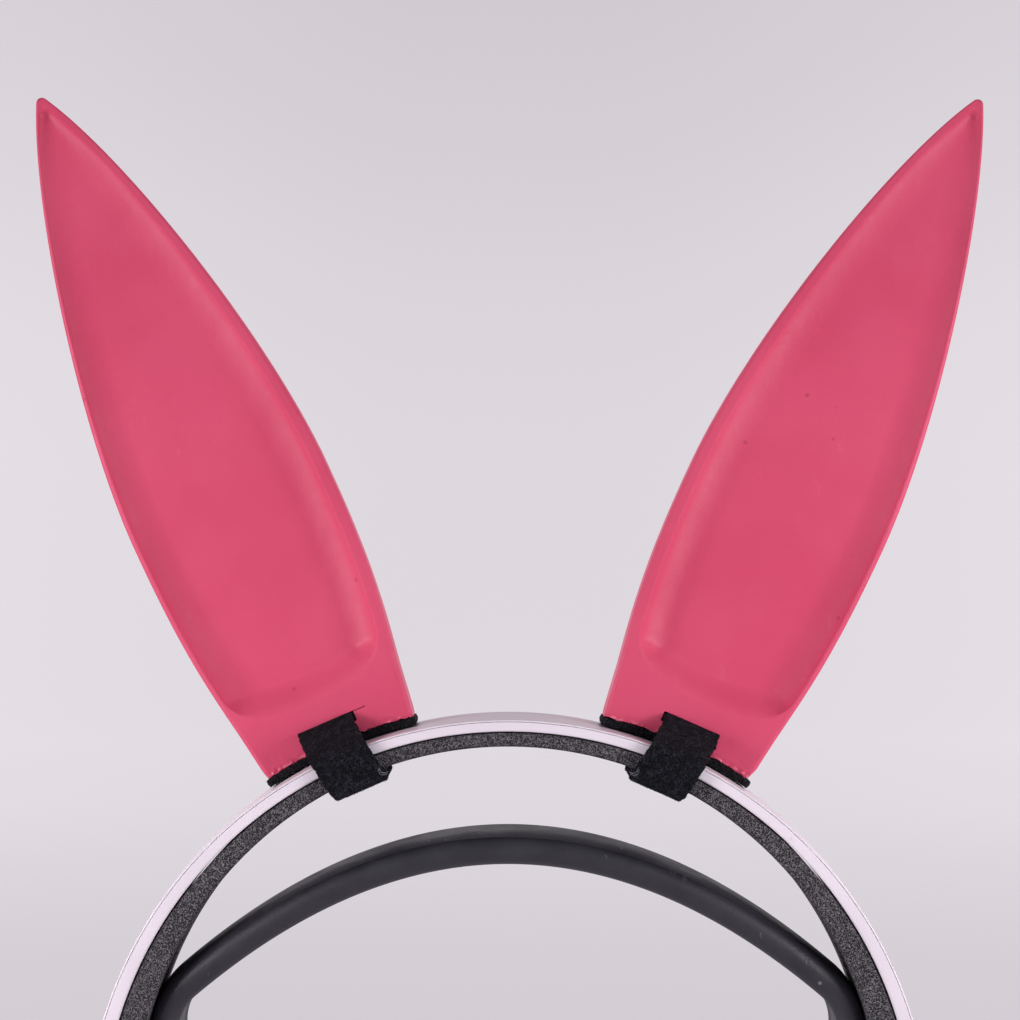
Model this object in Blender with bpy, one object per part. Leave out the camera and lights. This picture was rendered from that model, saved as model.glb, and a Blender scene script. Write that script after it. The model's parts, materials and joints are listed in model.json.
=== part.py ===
"""Strap-on animal ears on a two-layer headband arch with a suspension strap.

Frame: metres, +Z up, +X to the wearer's left seen from the front, front faces -Y.
The origin is the middle of the suspension strap's underside, where the head or a
hook carries the headband.
"""

import math

import bmesh
import bpy
from mathutils import Vector

MM = 0.001

# Clearances
GAP = 0.3 * MM  # between two pieces that rest on each other
RUN = 0.5 * MM  # between a slider and its slot

# Arch: every radius is from the arc centre, seen from the front
ARC_Z = -60.0 * MM  # height of the arc centre
SKIN_EDGE_R = 91.2 * MM  # top skin at the front and rear edges
SKIN_CROWN = 0.4 * MM  # rise of the top skin at its middle line
SKIN_EDGE_T = 0.6 * MM  # top skin thickness at its edges
BAND_DEPTH = 38.0 * MM
FRAME_IN_R = 87.6 * MM  # underside of the white frame at the ends
FRAME_IN_RISE = 1.1 * MM  # how much further out it runs at the top
COVER_IN_R = 80.2 * MM  # inner face of the dark cover at the ends
COVER_IN_RISE = 5.2 * MM  # how much further out it runs at the top
COVER_SETBACK = 0.4 * MM  # cover faces behind the frame faces
STRIP_T = 0.8 * MM
STRIP_DEPTH = 26.0 * MM
BAND_EDGE = 0.5 * MM  # rounding along the band's long edges
ARC_STEPS = 44

# End caps, flat underneath
CAP_DROP = 5.0 * MM
CAP_OVER = 0.8 * MM  # how far a cap stands past the band all round
CAP_EDGE = 0.8 * MM

# Suspension strap
SUSP_T = 6.1 * MM
SUSP_WEB_T = 5.3 * MM
SUSP_DEPTH = 39.4 * MM  # at the middle
SUSP_END_DEPTH = 30.0 * MM  # at the hanging ends
SUSP_BEAD = 4.6 * MM  # width of the bead along each edge
SUSP_GROOVE = 0.9 * MM
SUSP_DROP = 25.4 * MM  # how far its top face has come below the underside's middle ...
SUSP_SPAN = 71.9 * MM  # ... at this distance from the middle
SUSP_SHOULDER = 4.9 * MM  # width of the bend that turns each end down
SUSP_ROOM = 2.65 * MM  # from a hanging end to the cover's inner face at the band's ends
SUSP_END_Z = -44.0 * MM
SUSP_STEPS = 18
BEND_STEPS = 7

# Sliders that carry the strap ends in slots of the cover
SLIDE_TRAVEL = 7.0 * MM
SLIDER_H = 7.6 * MM
SLIDER_DEPTH = 22.0 * MM
SLIDER_PLATE_T = 1.2 * MM
SLIDER_PLATE_UP = 5.0 * MM
TONGUE_DEPTH = 9.0 * MM
TONGUE_H = 5.0 * MM
TONGUE_IN = 2.6 * MM  # how far the tongue enters the cover
RIVET_R = 1.2 * MM
RIVET_HEAD_R = 2.4 * MM
RIVET_CROWN_R = 1.44 * MM  # the flat on top of the head
RIVET_HEAD_T = 0.7 * MM

# Ears
EAR_TURN_LEFT = 23.4  # degrees from straight up
EAR_TURN_RIGHT = 23.6
EAR_LEAN = 1.6  # degrees that the ear's own axis leans further out
PAD_T = 1.7 * MM
PAD_DEPTH = 17.4 * MM
PAD_OVER = 0.6 * MM
PAD_EDGE = 0.4 * MM
EAR_H = 155.3 * MM
EAR_BASE_W = 17.4 * MM  # half width at the foot
EAR_WIDE_W = 23.0 * MM  # half width at the widest
EAR_WIDE_H = 56.5 * MM
EAR_FOOT_PULL = 17.9 * MM  # handles of the two outline curves
EAR_FOOT_FLARE = 2.8 * MM
EAR_WIDE_PULL_DOWN = 30.0 * MM
EAR_WIDE_PULL_UP = 30.0 * MM
EAR_TIP_PULL = 26.0 * MM
EAR_TIP_HALF_ANGLE = 24.9  # degrees
EAR_TIP_W = 1.6 * MM
EAR_TIP_ROUND = 0.92  # 1 would close the tip to a point
EAR_FOOT_DEPTH = 18.0 * MM
EAR_TIP_DEPTH = 4.6 * MM
EAR_EDGE = 1.0 * MM
DISH_DEPTH = 4.6 * MM
DISH_TIP_DEPTH = 1.3 * MM
DISH_FOOT = 11.3 * MM  # where the dish starts above the foot
DISH_RIM = 2.2 * MM
DISH_SHIFT = 1.1 * MM  # the dish sits off the axis, towards the outer side
DISH_WALL = 6.5 * MM
DISH_CORNER = 5.0 * MM
DISH_LEAST_SHARE = 0.35  # the dish never gets narrower than this share of the ear
DISH_WALL_SHARE = 0.95  # its wall never gets wider than this share of the dish
DISH_FADE = 10.0 * MM  # the dish runs out over this length below the tip
DISH_CENTRE_W = 13.2 * MM  # under this half width the dish moves back onto the axis
EAR_FOOT_HEIGHTS = (0.0, 2.0, 5.5, 9.0)  # mm
EAR_WALL_STEPS = 5
EAR_BODY_LOW = 24.0 * MM
EAR_BODY_TOP = 12.0 * MM  # below the tip
EAR_BODY_STEPS = 11
EAR_TIP_STEPS = (7.0, 4.0, 1.8, 1.0, 0.4, 0.0)  # mm below the tip
DISH_COLUMNS = (-1.0, -0.94, -0.86, -0.76, -0.64, -0.36, 0.0, 0.36, 0.64, 0.76, 0.86, 0.94, 1.0)

# Hook-and-loop strap of each ear
TAPE_W = 12.7 * MM
TAPE_T = 1.0 * MM
HOOK_W = 12.1 * MM
HOOK_T = 0.6 * MM
TAPE_DRIFT = 1.4 * MM  # the strap's foot lies this much nearer the middle
TAPE_OFF = 0.9 * MM  # the strap's middle is off the ear's axis
TAPE_CORNER = 1.8 * MM
SLOT_UP = 2.4 * MM  # underside of the ear's slot above the foot
SLOT_H = 2.3 * MM
SLOT_SIDE = 0.9 * MM  # slot wider than the strap on each side
STRAP_ROOM = 0.4 * MM  # strap to band, front and rear
STRAP_TURN = 4.0  # degrees each way that an ear shifts along the arch
TAB_LEN = 9.0 * MM
TAB_T = 1.2 * MM
TAB_CORNER = 1.6 * MM
TAB_HINGE_DROP = 0.3 * MM  # hinge line below the top skin's edge
TAPE_MOUTH = 0.6 * MM  # the strap turns this far outside the slot
TAPE_SHOULDER = 0.4 * MM  # and turns down this far below the band's middle line
HOOK_TOP_DROP = 1.2 * MM  # upper ends of the hook layer below the top skin's edge

# Fineness of round shapes
ROUND_STEPS = 20
PAD_STEPS = 12
EDGE_ANGLE = 50.0  # degrees, beyond which an edge is rounded
SMOOTH_ANGLE = 35.0  # degrees, below which faces are shaded as one surface

SUSP_SAG = SUSP_DROP + SUSP_T
SUSP_END_X = COVER_IN_R - SUSP_ROOM - SUSP_T / 2
SUSP_FREE_X = SUSP_END_X - SUSP_SHOULDER
PEAK_R = SKIN_EDGE_R + SKIN_CROWN
PAD_IN_R = PEAK_R + GAP
PAD_OUT_R = PAD_IN_R + PAD_T
FOOT_R = PAD_OUT_R + GAP
HALF_BAND = BAND_DEPTH / 2
HOOK_IN_Y = HALF_BAND + STRAP_ROOM
TAPE_MID_Y = HOOK_IN_Y + HOOK_T + GAP + TAPE_T / 2


def clear_scene():
    for obj in list(bpy.data.objects):
        bpy.data.objects.remove(obj, do_unlink=True)


def material(name, colour, roughness, metallic=0.0):
    made = bpy.data.materials.new(name)
    made.use_nodes = True
    shader = made.node_tree.nodes["Principled BSDF"]
    shader.inputs["Base Color"].default_value = (*colour, 1.0)
    shader.inputs["Roughness"].default_value = roughness
    shader.inputs["Metallic"].default_value = metallic
    return made


def solid(name, points, faces, mat, origin=(0.0, 0.0, 0.0), turn=0.0):
    """An object from points measured from its origin, turned about the Y axis."""
    mesh = bpy.data.meshes.new(name)
    mesh.from_pydata([tuple(p) for p in points], [], faces)
    work = bmesh.new()
    work.from_mesh(mesh)
    bmesh.ops.recalc_face_normals(work, faces=work.faces)
    work.to_mesh(mesh)
    work.free()
    mesh.shade_smooth()
    mesh.set_sharp_from_angle(angle=math.radians(SMOOTH_ANGLE))
    mesh.materials.append(mat)
    obj = bpy.data.objects.new(name, mesh)
    obj.location = origin
    obj.rotation_euler = (0.0, turn, 0.0)
    bpy.context.collection.objects.link(obj)
    return obj


def ring_faces(count, size, closed=False, folded=False):
    """Quads between rings of points, with the two end rings filled unless closed.

    A folded ring runs out along one side and back along the other, point for point.
    """
    faces = []
    for i in range(count if closed else count - 1):
        a = i * size
        b = ((i + 1) % count) * size
        for j in range(size):
            k = (j + 1) % size
            faces.append((a + j, a + k, b + k, b + j))
    if folded:
        for a in (0, (count - 1) * size):
            for j in range(size // 2 - 1):
                faces.append((a + j, a + j + 1, a + size - 2 - j, a + size - 1 - j))
    elif not closed:
        faces.append(tuple(range(size)))
        faces.append(tuple(range((count - 1) * size, count * size)))
    return faces


def rings_solid(name, rings, mat, closed=False, folded=False, **place):
    points = [p for ring in rings for p in ring]
    faces = ring_faces(len(rings), len(rings[0]), closed, folded)
    return solid(name, points, faces, mat, **place)


def box(name, low, high, mat, **place):
    low = Vector(low)
    high = Vector(high)
    rings = []
    for z in (low.z, high.z):
        rings.append([(low.x, low.y, z), (high.x, low.y, z), (high.x, high.y, z), (low.x, high.y, z)])
    return rings_solid(name, rings, mat, **place)


def turned_x(name, profile, z, mat):
    """A solid turned about a line along X, from (x, radius) pairs."""
    rings = []
    for x, r in profile:
        ring = []
        for i in range(ROUND_STEPS):
            a = 2 * math.pi * i / ROUND_STEPS
            ring.append((x, r * math.cos(a), z + r * math.sin(a)))
        rings.append(ring)
    return rings_solid(name, rings, mat)


def boolean(obj, other, operation):
    other.hide_render = True
    other.display_type = "WIRE"
    step = obj.modifiers.new(other.name, "BOOLEAN")
    step.object = other
    step.operation = operation
    step.solver = "EXACT"


def round_edges(obj, width, segments=2):
    step = obj.modifiers.new("edges", "BEVEL")
    step.width = width
    step.segments = segments
    step.limit_method = "ANGLE"
    step.angle_limit = math.radians(EDGE_ANGLE)
    step.use_clamp_overlap = True


def rounded(corners, radius, steps=4, closed=False):
    """The polyline through these corners, each inner corner turned into an arc."""
    count = len(corners)
    out = []
    for i, corner in enumerate(corners):
        if not closed and i in (0, count - 1):
            out.append(Vector(corner))
            continue
        here = Vector(corner)
        back = (Vector(corners[i - 1]) - here).normalized()
        ahead = (Vector(corners[(i + 1) % count]) - here).normalized()
        half = back.angle(ahead) / 2
        reach = radius / math.tan(half)
        centre = here + (back + ahead).normalized() * radius / math.sin(half)
        start = here + back * reach - centre
        end = here + ahead * reach - centre
        sweep = start.angle(end)
        for k in range(steps + 1):
            t = k / steps
            a = math.sin((1 - t) * sweep) / math.sin(sweep)
            b = math.sin(t * sweep) / math.sin(sweep)
            out.append(centre + start * a + end * b)
    return out


def side_normals(path, closed=False):
    out = []
    count = len(path)
    for i in range(count):
        a = path[i - 1] if closed or i else path[i]
        b = path[(i + 1) % count] if closed or i < count - 1 else path[i]
        along = (b - a).normalized()
        out.append(Vector((-along.y, along.x)))
    return out


# ---------------------------------------------------------------- arch

def frame_in(theta):
    return FRAME_IN_R + FRAME_IN_RISE * math.sin(theta)


def cover_in(theta):
    return COVER_IN_R + COVER_IN_RISE * math.sin(theta)


def arch_sweep(name, section, mat):
    """Sweeps section(theta), a list of (y, radius), over the half circle."""
    rings = []
    for i in range(ARC_STEPS + 1):
        theta = math.pi * i / ARC_STEPS
        ring = []
        for y, r in section(theta):
            ring.append((r * math.cos(theta), y, ARC_Z + r * math.sin(theta)))
        rings.append(ring)
    return rings_solid(name, rings, mat)


def skin_section(theta):
    low = SKIN_EDGE_R - SKIN_EDGE_T
    ring = [(HALF_BAND, low), (-HALF_BAND, low)]
    for i in range(5):
        s = -1 + i / 2
        ring.append((s * HALF_BAND, SKIN_EDGE_R + SKIN_CROWN * (1 - s * s)))
    return ring


def frame_section(theta):
    top = SKIN_EDGE_R - SKIN_EDGE_T - GAP
    low = frame_in(theta)
    e = BAND_EDGE
    y = HALF_BAND
    return [(-y, low + e), (-y, top), (y, top), (y, low + e), (y - e, low), (-y + e, low)]


def cover_section(theta):
    top = frame_in(theta) - GAP
    low = cover_in(theta)
    y = HALF_BAND - COVER_SETBACK
    groove = STRIP_DEPTH / 2 + GAP
    floor = top - STRIP_T - GAP
    e = 2 * BAND_EDGE
    ring = [(-y, low + e), (-y, top), (-groove, top), (-groove, floor)]
    ring += [(groove, floor), (groove, top), (y, top), (y, low + e)]
    return ring + [(y - e, low), (-y + e, low)]


def strip_section(theta):
    top = frame_in(theta) - GAP
    y = STRIP_DEPTH / 2
    return [(-y, top - STRIP_T), (-y, top), (y, top), (y, top - STRIP_T)]


def cover_slot(side, mat):
    """The slot in the cover's inner face that a slider's tongue runs in."""
    z_top = SUSP_END_Z - GAP - (SLIDER_H - TONGUE_H) / 2 + RUN
    z_low = z_top - TONGUE_H - SLIDE_TRAVEL - 2 * RUN
    x_in = SUSP_END_X
    x_out = tongue_tip() + RUN
    low = (min(side * x_in, side * x_out), -TONGUE_DEPTH / 2 - RUN, z_low)
    high = (max(side * x_in, side * x_out), TONGUE_DEPTH / 2 + RUN, z_top)
    return box("cut_slot_" + ("right" if side > 0 else "left"), low, high, mat)


def tongue_tip():
    return COVER_IN_R + TONGUE_IN


def build_band(mats):
    arch_sweep("top_skin", skin_section, mats["shell"])
    arch_sweep("outer_frame", frame_section, mats["shell"])
    arch_sweep("spring_strip", strip_section, mats["steel"])
    cover = arch_sweep("inner_cover", cover_section, mats["cover"])
    for side in (-1, 1):
        boolean(cover, cover_slot(side, mats["cover"]), "DIFFERENCE")


def build_end_cap(side, word, mats):
    x_in = COVER_IN_R - CAP_OVER
    x_out = SKIN_EDGE_R + SKIN_CROWN + CAP_OVER
    y = HALF_BAND + CAP_OVER
    z_top = ARC_Z - GAP
    low = (min(side * x_in, side * x_out), -y, z_top - CAP_DROP)
    high = (max(side * x_in, side * x_out), y, z_top)
    cap = box("end_cap_" + word, low, high, mats["cap"])
    round_edges(cap, CAP_EDGE)


# ---------------------------------------------------------------- suspension strap

def strap_line():
    """Centre line from the middle to the right end as (x, z, normal x, normal z)."""
    half = SUSP_T / 2
    pull = SUSP_SAG / SUSP_SPAN**2
    line = []
    for i in range(SUSP_STEPS + 1):
        x = SUSP_FREE_X * i / SUSP_STEPS
        slope = -2 * pull * x
        n = Vector((-slope, 1.0)).normalized()
        line.append((x, half - pull * x * x, n.x, n.y))
    x0, z0, nx, nz = line[-1]
    start = math.atan2(nx, nz)
    radius = (SUSP_END_X - x0) / (1 - math.sin(start))
    for i in range(1, BEND_STEPS + 1):
        a = start + (math.pi / 2 - start) * i / BEND_STEPS
        x = x0 + radius * (math.sin(a) - math.sin(start))
        z = z0 - radius * (math.cos(start) - math.cos(a))
        line.append((x, z, math.sin(a), math.cos(a)))
    line.append((SUSP_END_X, SUSP_END_Z, 1.0, 0.0))
    return line


def strap_depth(x):
    """The strap narrows towards its ends."""
    share = min(abs(x) / SUSP_END_X, 1.0) ** 2
    return SUSP_DEPTH + (SUSP_END_DEPTH - SUSP_DEPTH) * share


def strap_section(x):
    """(y, height above the centre line): a bead along each edge, a groove beside it, a flat web."""
    half = SUSP_T / 2
    web = SUSP_WEB_T / 2
    edge = strap_depth(x) / 2
    bead = edge - SUSP_BEAD
    top = []
    for i in range(7):
        a = math.radians(-90 + 180 * i / 6)
        top.append((edge - half * (1 - math.cos(a)), half * math.sin(a)))
    right = top + [(bead, half), (bead, web - SUSP_GROOVE), (bead - SUSP_GROOVE, web - SUSP_GROOVE)]
    right += [(bead - SUSP_GROOVE, web)]
    left = [(-y, h) for y, h in reversed(right)]
    under = [(-bead, -web), (bead, -web)]
    return right + left + under


def build_suspension(mats):
    half_line = strap_line()
    line = [(-x, z, -nx, nz) for x, z, nx, nz in reversed(half_line[1:])] + half_line
    rings = []
    for x, z, nx, nz in line:
        rings.append([(x + h * nx, y, z + h * nz) for y, h in strap_section(x)])
    strap = rings_solid("suspension_strap", rings, mats["rubber"])
    for side, word in ((-1, "left"), (1, "right")):
        build_slider(side, word, strap, mats)


def build_slider(side, word, strap, mats):
    inner = SUSP_END_X - SUSP_T / 2 - GAP - SLIDER_PLATE_T
    outer = SUSP_END_X + SUSP_T / 2
    top = SUSP_END_Z - GAP
    low = top - SLIDER_H
    y = SLIDER_DEPTH / 2
    shape = [(inner, low), (outer, low), (outer, top), (inner + SLIDER_PLATE_T, top)]
    shape += [(inner + SLIDER_PLATE_T, top + SLIDER_PLATE_UP), (inner, top + SLIDER_PLATE_UP)]
    rings = [[(side * x, v, z) for x, z in shape] for v in (-y, y)]
    slider = rings_solid("slider_" + word, rings, mats["slider"])
    mid = low + SLIDER_H / 2
    ends = (side * (outer - TONGUE_IN), side * tongue_tip())
    tongue = box(
        "add_tongue_" + word,
        (min(ends), -TONGUE_DEPTH / 2, mid - TONGUE_H / 2),
        (max(ends), TONGUE_DEPTH / 2, mid + TONGUE_H / 2),
        mats["slider"],
    )
    boolean(slider, tongue, "UNION")
    rivet_z = top + SLIDER_PLATE_UP / 2
    head_x = inner - GAP
    bore = (side * (inner - SLIDER_PLATE_T), side * (SUSP_END_X + RIVET_R + GAP))
    bore_profile = [(x, RIVET_R + GAP) for x in bore]
    cutter = turned_x("cut_rivet_" + word, bore_profile, rivet_z, mats["steel"])
    boolean(slider, cutter, "DIFFERENCE")
    boolean(strap, cutter, "DIFFERENCE")
    profile = [(head_x - RIVET_HEAD_T, RIVET_CROWN_R), (head_x - RIVET_HEAD_T / 2, RIVET_HEAD_R)]
    profile += [(head_x, RIVET_HEAD_R), (head_x, RIVET_R), (SUSP_END_X + RIVET_R, RIVET_R)]
    turned_x("rivet_" + word, [(side * x, r) for x, r in profile], rivet_z, mats["steel"])


# ---------------------------------------------------------------- ears

def bezier(a, b, c, d, t):
    s = 1 - t
    return a * s**3 + 3 * b * s * s * t + 3 * c * s * t * t + d * t**3


def curve_at(points, height):
    """Width of a cubic curve of (width, height) points where it passes this height."""
    low, high = 0.0, 1.0
    for _ in range(40):
        mid = (low + high) / 2
        if bezier(*[p[1] for p in points], mid) < height:
            low = mid
        else:
            high = mid
    return bezier(*[p[0] for p in points], (low + high) / 2)


def ear_half_width(h):
    wide = (EAR_WIDE_W, EAR_WIDE_H)
    if h <= EAR_WIDE_H:
        foot = (EAR_BASE_W, 0.0)
        flare = (EAR_BASE_W + EAR_FOOT_FLARE, EAR_FOOT_PULL)
        return curve_at([foot, flare, (EAR_WIDE_W, EAR_WIDE_H - EAR_WIDE_PULL_DOWN), wide], max(h, 0.0))
    a = math.radians(EAR_TIP_HALF_ANGLE)
    tip = (EAR_TIP_W, EAR_H)
    before = (EAR_TIP_W + EAR_TIP_PULL * math.sin(a), EAR_H - EAR_TIP_PULL * math.cos(a))
    width = curve_at([wide, (EAR_WIDE_W, EAR_WIDE_H + EAR_WIDE_PULL_UP), before, tip], h)
    into_tip = max(0.0, (h - EAR_H + EAR_TIP_W) / EAR_TIP_W)
    return width * math.sqrt(1 - EAR_TIP_ROUND * min(into_tip, 1.0) ** 2)


def ear_half_depth(h):
    share = min(max(h / EAR_H, 0.0), 1.0)
    return (EAR_FOOT_DEPTH + (EAR_TIP_DEPTH - EAR_FOOT_DEPTH) * share) / 2


def smooth(t):
    t = min(max(t, 0.0), 1.0)
    return t * t * (3 - 2 * t)


def dish_half_width(h):
    half = ear_half_width(h)
    return max(half - DISH_RIM, DISH_LEAST_SHARE * half)


def dish_middle(h):
    return DISH_SHIFT * min(1.0, ear_half_width(h) / DISH_CENTRE_W)


def dish(u, h):
    """How deep the dished front lies under the rim at this place."""
    half = dish_half_width(h)
    side = half - abs(u - dish_middle(h))
    foot = h - DISH_FOOT
    if side <= 0 or foot <= 0:
        return 0.0
    inside = min(side, foot)
    if side < DISH_CORNER and foot < DISH_CORNER:
        inside = DISH_CORNER - math.hypot(DISH_CORNER - side, DISH_CORNER - foot)
    wall = min(DISH_WALL, DISH_WALL_SHARE * half)
    depth = DISH_DEPTH + (DISH_TIP_DEPTH - DISH_DEPTH) * h / EAR_H
    return depth * smooth(inside / wall) * smooth((EAR_H - h) / DISH_FADE)


def foot_arc(u):
    """Height of the foot, which follows the arch, at this distance from the ear's axis."""
    lean = math.radians(EAR_LEAN)
    return math.sqrt(FOOT_R**2 - (u - FOOT_R * math.sin(lean)) ** 2) - FOOT_R * math.cos(lean)


def ear_point(side, u, y, h):
    """From the ear's own axes to distances from the arc centre."""
    lean = math.radians(EAR_LEAN)
    x = u * math.cos(lean) + h * math.sin(lean)
    z = FOOT_R - u * math.sin(lean) + h * math.cos(lean)
    return (side * x, y, z)


def ear_heights():
    foot = [h * MM for h in EAR_FOOT_HEIGHTS]
    dished = [DISH_FOOT + DISH_WALL * i / EAR_WALL_STEPS for i in range(EAR_WALL_STEPS + 1)]
    span = EAR_H - EAR_BODY_TOP - EAR_BODY_LOW
    body = [EAR_BODY_LOW + span * i / EAR_BODY_STEPS for i in range(EAR_BODY_STEPS + 1)]
    tip = [EAR_H - d * MM for d in EAR_TIP_STEPS]
    return foot + dished + body + tip


def ear_ring(side, h):
    half = ear_half_width(h)
    deep = ear_half_depth(h)
    edge = min(EAR_EDGE, 0.4 * half, 0.4 * deep)
    front_in = []
    for i in range(4):
        a = math.pi / 2 * i / 3
        front_in.append((-half + edge - edge * math.cos(a), -deep + edge - edge * math.sin(a)))
    front = []
    for q in DISH_COLUMNS:
        u = dish_middle(h) + q * dish_half_width(h)
        front.append((u, -deep + dish(u, h)))
    front_out = [(-u, y) for u, y in reversed(front_in)]
    rear_in = [(u, -y) for u, y in front_in]
    rear = [(u, deep) for u, y in front]
    rear_out = [(u, -y) for u, y in front_out]
    outline = front_in + front + front_out
    outline += reversed(rear_in + rear + rear_out)
    out = []
    for u, y in outline:
        lift = foot_arc(u) * max(0.0, 1 - h / DISH_FOOT)
        out.append(ear_point(side, u, y, h + lift))
    return out


def build_ear(side, word, turn, mats):
    place = {"origin": (0.0, 0.0, ARC_Z), "turn": side * math.radians(turn)}
    rings = [ear_ring(side, h) for h in ear_heights()]
    ear = rings_solid("ear_" + word, rings, mats["ear"], folded=True, **place)
    slot_half = TAPE_W / 2 + SLOT_SIDE
    slot_mid = side * TAPE_OFF
    slot_low = FOOT_R + SLOT_UP
    cutter = box(
        "cut_ear_slot_" + word,
        (slot_mid - slot_half, -EAR_FOOT_DEPTH, slot_low),
        (slot_mid + slot_half, EAR_FOOT_DEPTH, slot_low + SLOT_H),
        mats["ear"],
        **place,
    )
    boolean(ear, cutter, "DIFFERENCE")
    build_pad(side, word, mats, place)
    build_tape(side, word, mats, place)
    build_hook_layer(side, word, mats, place)
    build_tab(side, word, turn, mats)


def build_pad(side, word, mats, place):
    """The thin soft pad between the foot and the arch, bent to the arch."""
    half = (EAR_BASE_W + PAD_OVER) / FOOT_R
    y = PAD_DEPTH / 2
    e = PAD_EDGE
    rings = []
    for i in range(PAD_STEPS + 1):
        a = half * (-1 + 2 * i / PAD_STEPS)
        ring = []
        section = [(-y, PAD_IN_R), (-y, PAD_OUT_R - e), (-y + e, PAD_OUT_R)]
        section += [(y - e, PAD_OUT_R), (y, PAD_OUT_R - e), (y, PAD_IN_R)]
        for v, r in section:
            ring.append((r * math.sin(a), v, r * math.cos(a)))
        rings.append(ring)
    rings_solid("saddle_pad_" + word, rings, mats["felt"], **place)


def tape_path():
    """The strap's middle line, as (y, radius), once round the band and through the slot."""
    slot = FOOT_R + SLOT_UP + SLOT_H / 2
    low = tape_foot_r()
    front = TAPE_MID_Y
    mouth = EAR_FOOT_DEPTH / 2 + TAPE_MOUTH
    shoulder = PEAK_R - TAPE_SHOULDER
    corners = [(-front, low), (-front, shoulder), (-mouth, slot), (mouth, slot), (front, shoulder), (front, low)]
    return rounded(corners, TAPE_CORNER, closed=True)


def tape_foot_r():
    turn = math.radians(max(EAR_TURN_LEFT, EAR_TURN_RIGHT) + STRAP_TURN)
    reach = turn + (TAPE_W / 2 + TAPE_DRIFT) / COVER_IN_R
    return cover_in(math.pi / 2 - reach) - STRAP_ROOM - HOOK_T - GAP - TAPE_T / 2


def tape_shift(side, r):
    """The strap leans towards the middle further down."""
    top = FOOT_R + SLOT_UP
    low = tape_foot_r()
    share = min(max((top - r) / (top - low), 0.0), 1.0)
    return side * (TAPE_OFF - TAPE_DRIFT * share)


def belt(name, side, path, thick, width, mat, closed, place):
    normals = side_normals(path, closed)
    rings = []
    for p, n in zip(path, normals):
        outer = p + n * (thick / 2)
        inner = p - n * (thick / 2)
        ring = []
        for q, edge in ((outer, -1), (outer, 1), (inner, 1), (inner, -1)):
            ring.append((tape_shift(side, q.y) + edge * width / 2, q.x, q.y))
        rings.append(ring)
    return rings_solid(name, rings, mat, closed=closed, **place)


def build_tape(side, word, mats, place):
    belt("loop_strap_" + word, side, tape_path(), TAPE_T, TAPE_W, mats["loop"], True, place)


def build_hook_layer(side, word, mats, place):
    """The hook side of the strap, which faces the band."""
    low = tape_foot_r() + TAPE_T / 2 + GAP + HOOK_T / 2
    y = HOOK_IN_Y + HOOK_T / 2
    top = SKIN_EDGE_R - HOOK_TOP_DROP
    path = rounded([(-y, top), (-y, low), (y, low), (y, top)], TAPE_CORNER - TAPE_T / 2)
    belt("hook_layer_" + word, side, path, HOOK_T, HOOK_W, mats["hook"], False, place)


def build_tab(side, word, turn, mats):
    """The strap's free end, pressed on at the rear; it peels about its upper edge."""
    angle = side * math.radians(turn)
    y0 = TAPE_MID_Y + TAPE_T / 2 + GAP
    hinge_r = SKIN_EDGE_R - TAB_HINGE_DROP
    hinge_y = y0 + TAB_T / 2
    shift = tape_shift(side, hinge_r - TAB_LEN / 2)
    origin = (hinge_r * math.sin(angle), hinge_y, ARC_Z + hinge_r * math.cos(angle))
    half = TAPE_W / 2
    outline = rounded([(-half, 0.0), (-half, -TAB_LEN), (half, -TAB_LEN), (half, 0.0)], TAB_CORNER)
    rings = []
    for y in (-TAB_T / 2, TAB_T / 2):
        rings.append([(shift + p.x, y, p.y) for p in outline])
    rings_solid("tab_" + word, rings, mats["loop"], origin=origin, turn=angle)


def main():
    clear_scene()
    mats = {
        "ear": material("ear_pink", (0.68, 0.08, 0.16), 0.38),
        "shell": material("shell_white", (0.62, 0.58, 0.64), 0.4),
        "cover": material("cover_grain", (0.045, 0.043, 0.05), 0.7),
        "cap": material("cap_dark", (0.03, 0.03, 0.035), 0.5),
        "steel": material("steel", (0.5, 0.5, 0.52), 0.35, 1.0),
        "rubber": material("strap_rubber", (0.025, 0.025, 0.03), 0.6),
        "slider": material("slider_black", (0.02, 0.02, 0.022), 0.45),
        "felt": material("pad_felt", (0.012, 0.012, 0.015), 0.95),
        "loop": material("loop_tape", (0.012, 0.013, 0.018), 0.95),
        "hook": material("hook_tape", (0.03, 0.03, 0.034), 0.8),
    }
    build_band(mats)
    for side, word in ((-1, "left"), (1, "right")):
        build_end_cap(side, word, mats)
    build_suspension(mats)
    build_ear(-1, "left", EAR_TURN_LEFT, mats)
    build_ear(1, "right", EAR_TURN_RIGHT, mats)


main()
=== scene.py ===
# %% [markdown]
# # Strap-on rabbit ears on a two-layer headband
# Two pink printed ears stand on felt pads and are tied to a headset-style arch with hook-and-loop straps.
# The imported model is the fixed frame: it gives the places and the moving bodies. Everything that shows is
# worked out here as fine surfaces over that frame, with a material for each finish.

# %% Load the frame
import json
import math

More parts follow.
